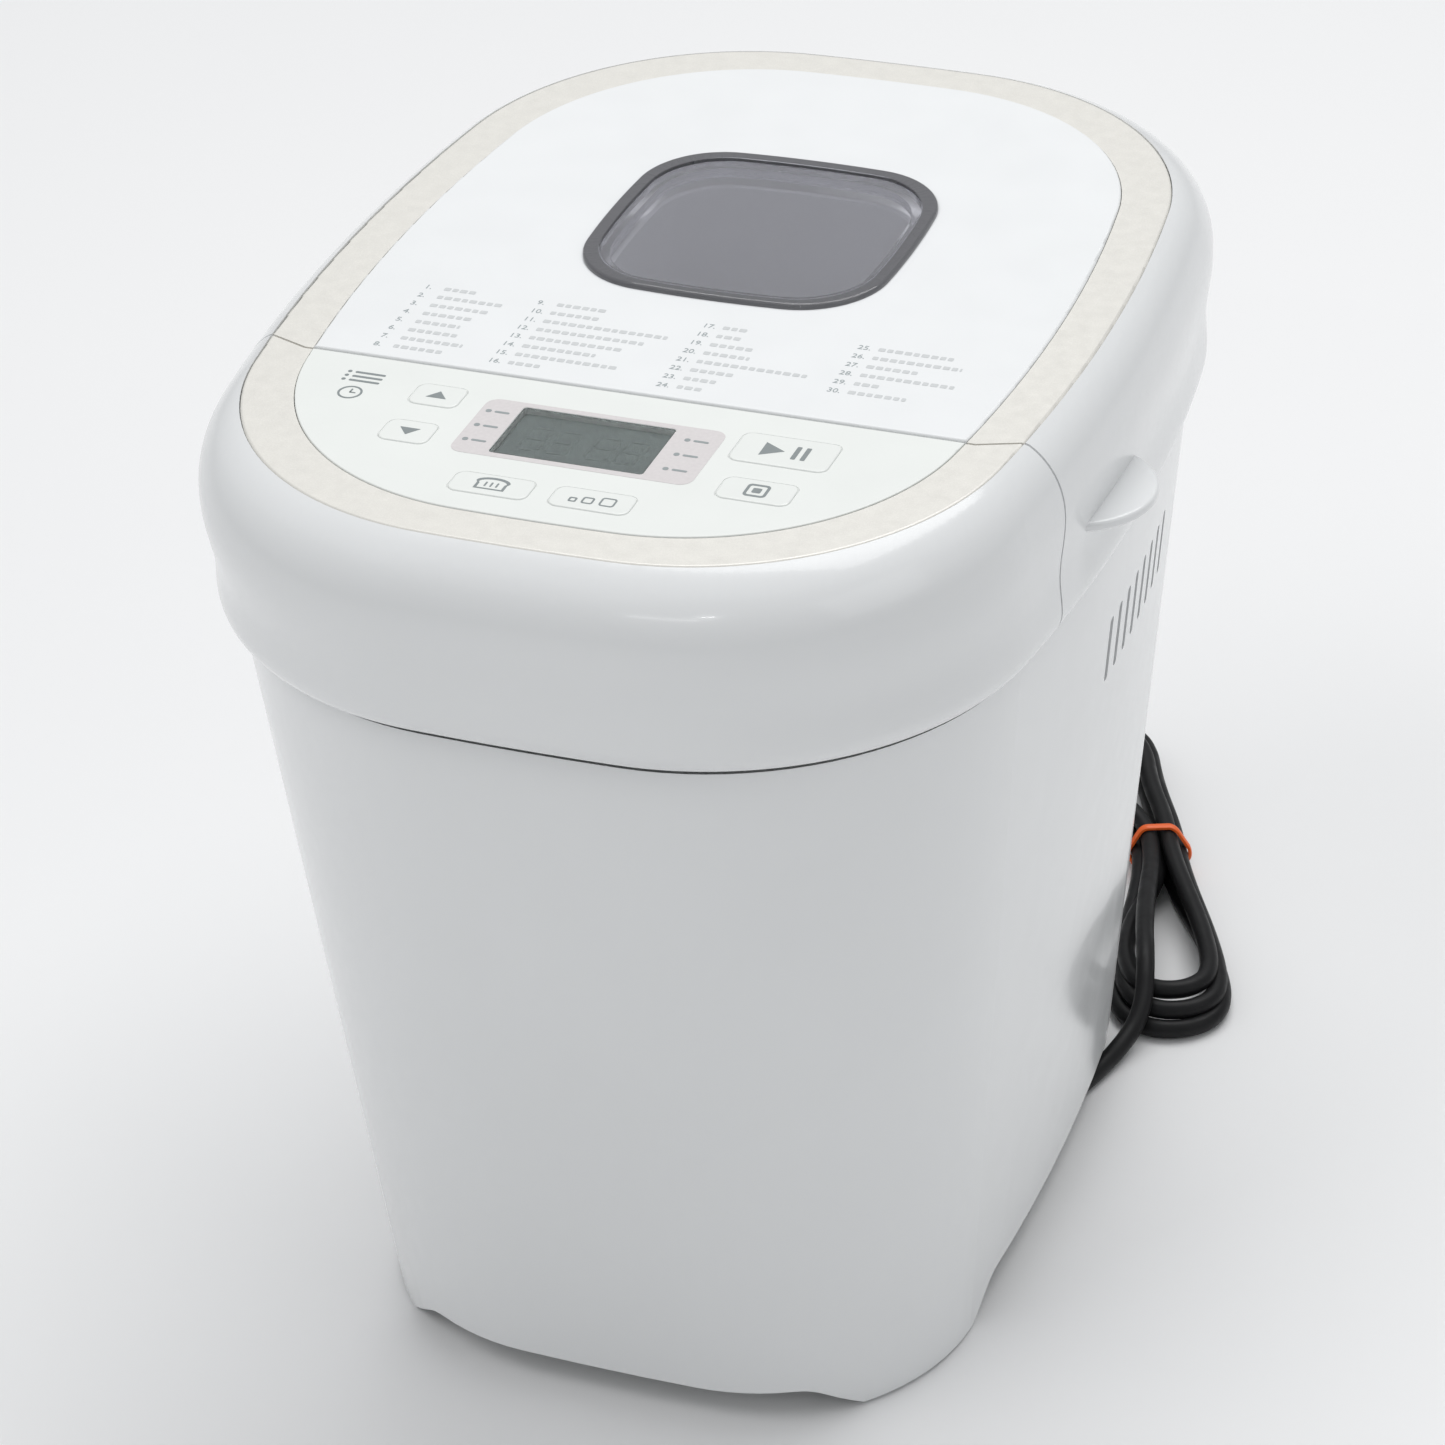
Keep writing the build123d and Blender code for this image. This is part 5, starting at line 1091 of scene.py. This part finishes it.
class BREADMACHINE_OT_key_icons(bpy.types.Operator):
    """Print the marks of the keys, the menu and the timer, and make the film webs round the keys"""

    bl_idname = "bread_machine.key_icons"
    bl_label = "Key marks"

    def execute(self, context):
        thick = context.scene.bread_sizes.print_thick
        ink = ink_finish("key_ink", tuple(context.scene.bread_colours.ink))
        for name in KEY_NAMES:
            low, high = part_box(name)
            middle = (low + high) / 2
            parts = icon_parts(name, middle.x, middle.y, high.z + INK_LIFT, high.z + thick)
            item = join(parts) if len(parts) > 1 else parts[0]
            finished(item, name.replace("key", "mark"), ink, name, 20)
        webs = []
        for name in KEY_NAMES:
            low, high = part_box(name)
            x, y = (low.x + high.x) / 2, (low.y + high.y) / 2
            width, depth = high.x - low.x, high.y - low.y
            outer = rounded_outline(x, y, width + 0.0005, depth + 0.0005, 0.00295)
            inner = rounded_outline(x, y, width + 0.0001, depth + 0.0001, 0.00275)
            webs.append(framed_plate(outer, inner, CONTROL_TOP - 0.0009, CONTROL_TOP - 0.00008))
        web_finish = moulded("key_web_film", tuple(context.scene.bread_colours.film), 0.4)
        finished(join(webs), "key_webs", web_finish, "body", 20)
        up_low, up_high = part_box("key_menu_up")
        x, y = up_low.x - 0.0165, (up_low.y + up_high.y) / 2
        low = CONTROL_TOP + INK_LIFT
        parts = []
        for row in range(3):
            row_y = y + 0.0062 - row * 0.0022
            parts.append(plate(round_outline(x - 0.0048, row_y, 0.0006, 12), low, low + thick))
            parts.append(pad(x + 0.0012, row_y, 0.0088, 0.0009, 0.0004, low, low + thick))
        clock_y = y - 0.0046
        rim = round_outline(x, clock_y, 0.0034)
        face = round_outline(x, clock_y, 0.0028)
        parts.append(framed_plate(rim, face, low, low + thick))
        parts.append(pad(x, clock_y + 0.0009, 0.0005, 0.0020, 0.0002, low, low + thick, 2))
        parts.append(pad(x + 0.0007, clock_y, 0.0018, 0.0005, 0.0002, low, low + thick, 2))
        finished(join(parts), "menu_and_timer_marks", ink, "body", 20)
        return {"FINISHED"}


# Menu columns: left edge, first number, and the width of each row's bars in millimetres
MENU_COLUMNS = (
    (-0.0773, 1, (10, 20, 17, 15, 13, 15, 18, 14)),
    (-0.0438, 9, (15, 14, 36, 31, 27, 21, 29, 9)),
    (0.0045, 17, (7, 8, 12, 13, 31, 13, 9, 8)),
    (0.0488, 25, (21, 25, 15, 26, 8, 16)),
)
FIRST_ROW_Y = -0.0262
DASHES = (0.0019, 0.0016, 0.0021)
DASH_GAP = 0.0006
NUMERAL_ROOM = 0.0058


class BREADMACHINE_OT_menu_list(bpy.types.Operator):
    """Print the numbered menu list on the lid: numerals, with plain bars for the names"""

    bl_idname = "bread_machine.menu_list"
    bl_label = "Menu list"

    def execute(self, context):
        sizes = context.scene.bread_sizes
        colours = context.scene.bread_colours
        low = LID_PANEL_TOP + INK_LIFT
        numerals, bars = [], []
        for left, first, lengths in MENU_COLUMNS:
            for row, length in enumerate(lengths):
                y = FIRST_ROW_Y - row * sizes.row_pitch
                numerals.append(words(f"{first + row}.", left, y, sizes.numeral_height, low, sizes.print_thick))
                start = left + NUMERAL_ROOM
                end = start + length * MM
                count = 0
                while start < end - DASH_GAP:
                    dash = min(end - start, DASHES[(row + count) % len(DASHES)])
                    middle = start + dash / 2
                    bars.append(pad(middle, y + 0.0011, dash, 0.0017, 0.0003, low, low + sizes.print_thick, 2))
                    start += dash + DASH_GAP
                    count += 1
        finished(join(numerals), "menu_numerals", ink_finish("numeral_ink", shade(tuple(colours.ink), 1.5)),
                 "lid", 20)
        bar_ink = ink_finish("bar_ink", tuple(colours.pale_ink))
        finished(join(bars), "menu_bars", bar_ink, "lid", 20)
        return {"FINISHED"}


# ---------------------------------------------------------------- panel in the sidebar
OPERATORS = (
    BREADMACHINE_OT_stage,
    BREADMACHINE_OT_finishes,
    BREADMACHINE_OT_cord,
    BREADMACHINE_OT_strain_relief,
    BREADMACHINE_OT_cord_tie,
    BREADMACHINE_OT_plug,
    BREADMACHINE_OT_screws,
    BREADMACHINE_OT_motor_windings,
    BREADMACHINE_OT_display,
    BREADMACHINE_OT_key_icons,
    BREADMACHINE_OT_menu_list,
)


class BREADMACHINE_PT_panel(bpy.types.Panel):
    """Lists the pieces of the bread machine"""

    bl_idname = "BREADMACHINE_PT_panel"
    bl_label = "Bread machine"
    bl_space_type = "VIEW_3D"
    bl_region_type = "UI"
    bl_category = "Bread machine"

    def draw(self, context):
        for group in (context.scene.bread_sizes, context.scene.bread_colours):
            box = self.layout.box()
            for name in group.__annotations__:
                box.prop(group, name)
        for operator in OPERATORS:
            self.layout.operator(operator.bl_idname)


CLASSES = (BreadSizes, BreadColours, *OPERATORS, BREADMACHINE_PT_panel)


def register():
    for item in CLASSES:
        bpy.utils.register_class(item)
    bpy.types.Scene.bread_sizes = bpy.props.PointerProperty(type=BreadSizes)
    bpy.types.Scene.bread_colours = bpy.props.PointerProperty(type=BreadColours)


def unregister():
    del bpy.types.Scene.bread_colours
    del bpy.types.Scene.bread_sizes
    for item in reversed(CLASSES):
        bpy.utils.unregister_class(item)


def main():
    register()
    for operator in OPERATORS:
        group, name = operator.bl_idname.split(".")
        getattr(getattr(bpy.ops, group), name)()


if __name__ == "__main__":
    main()
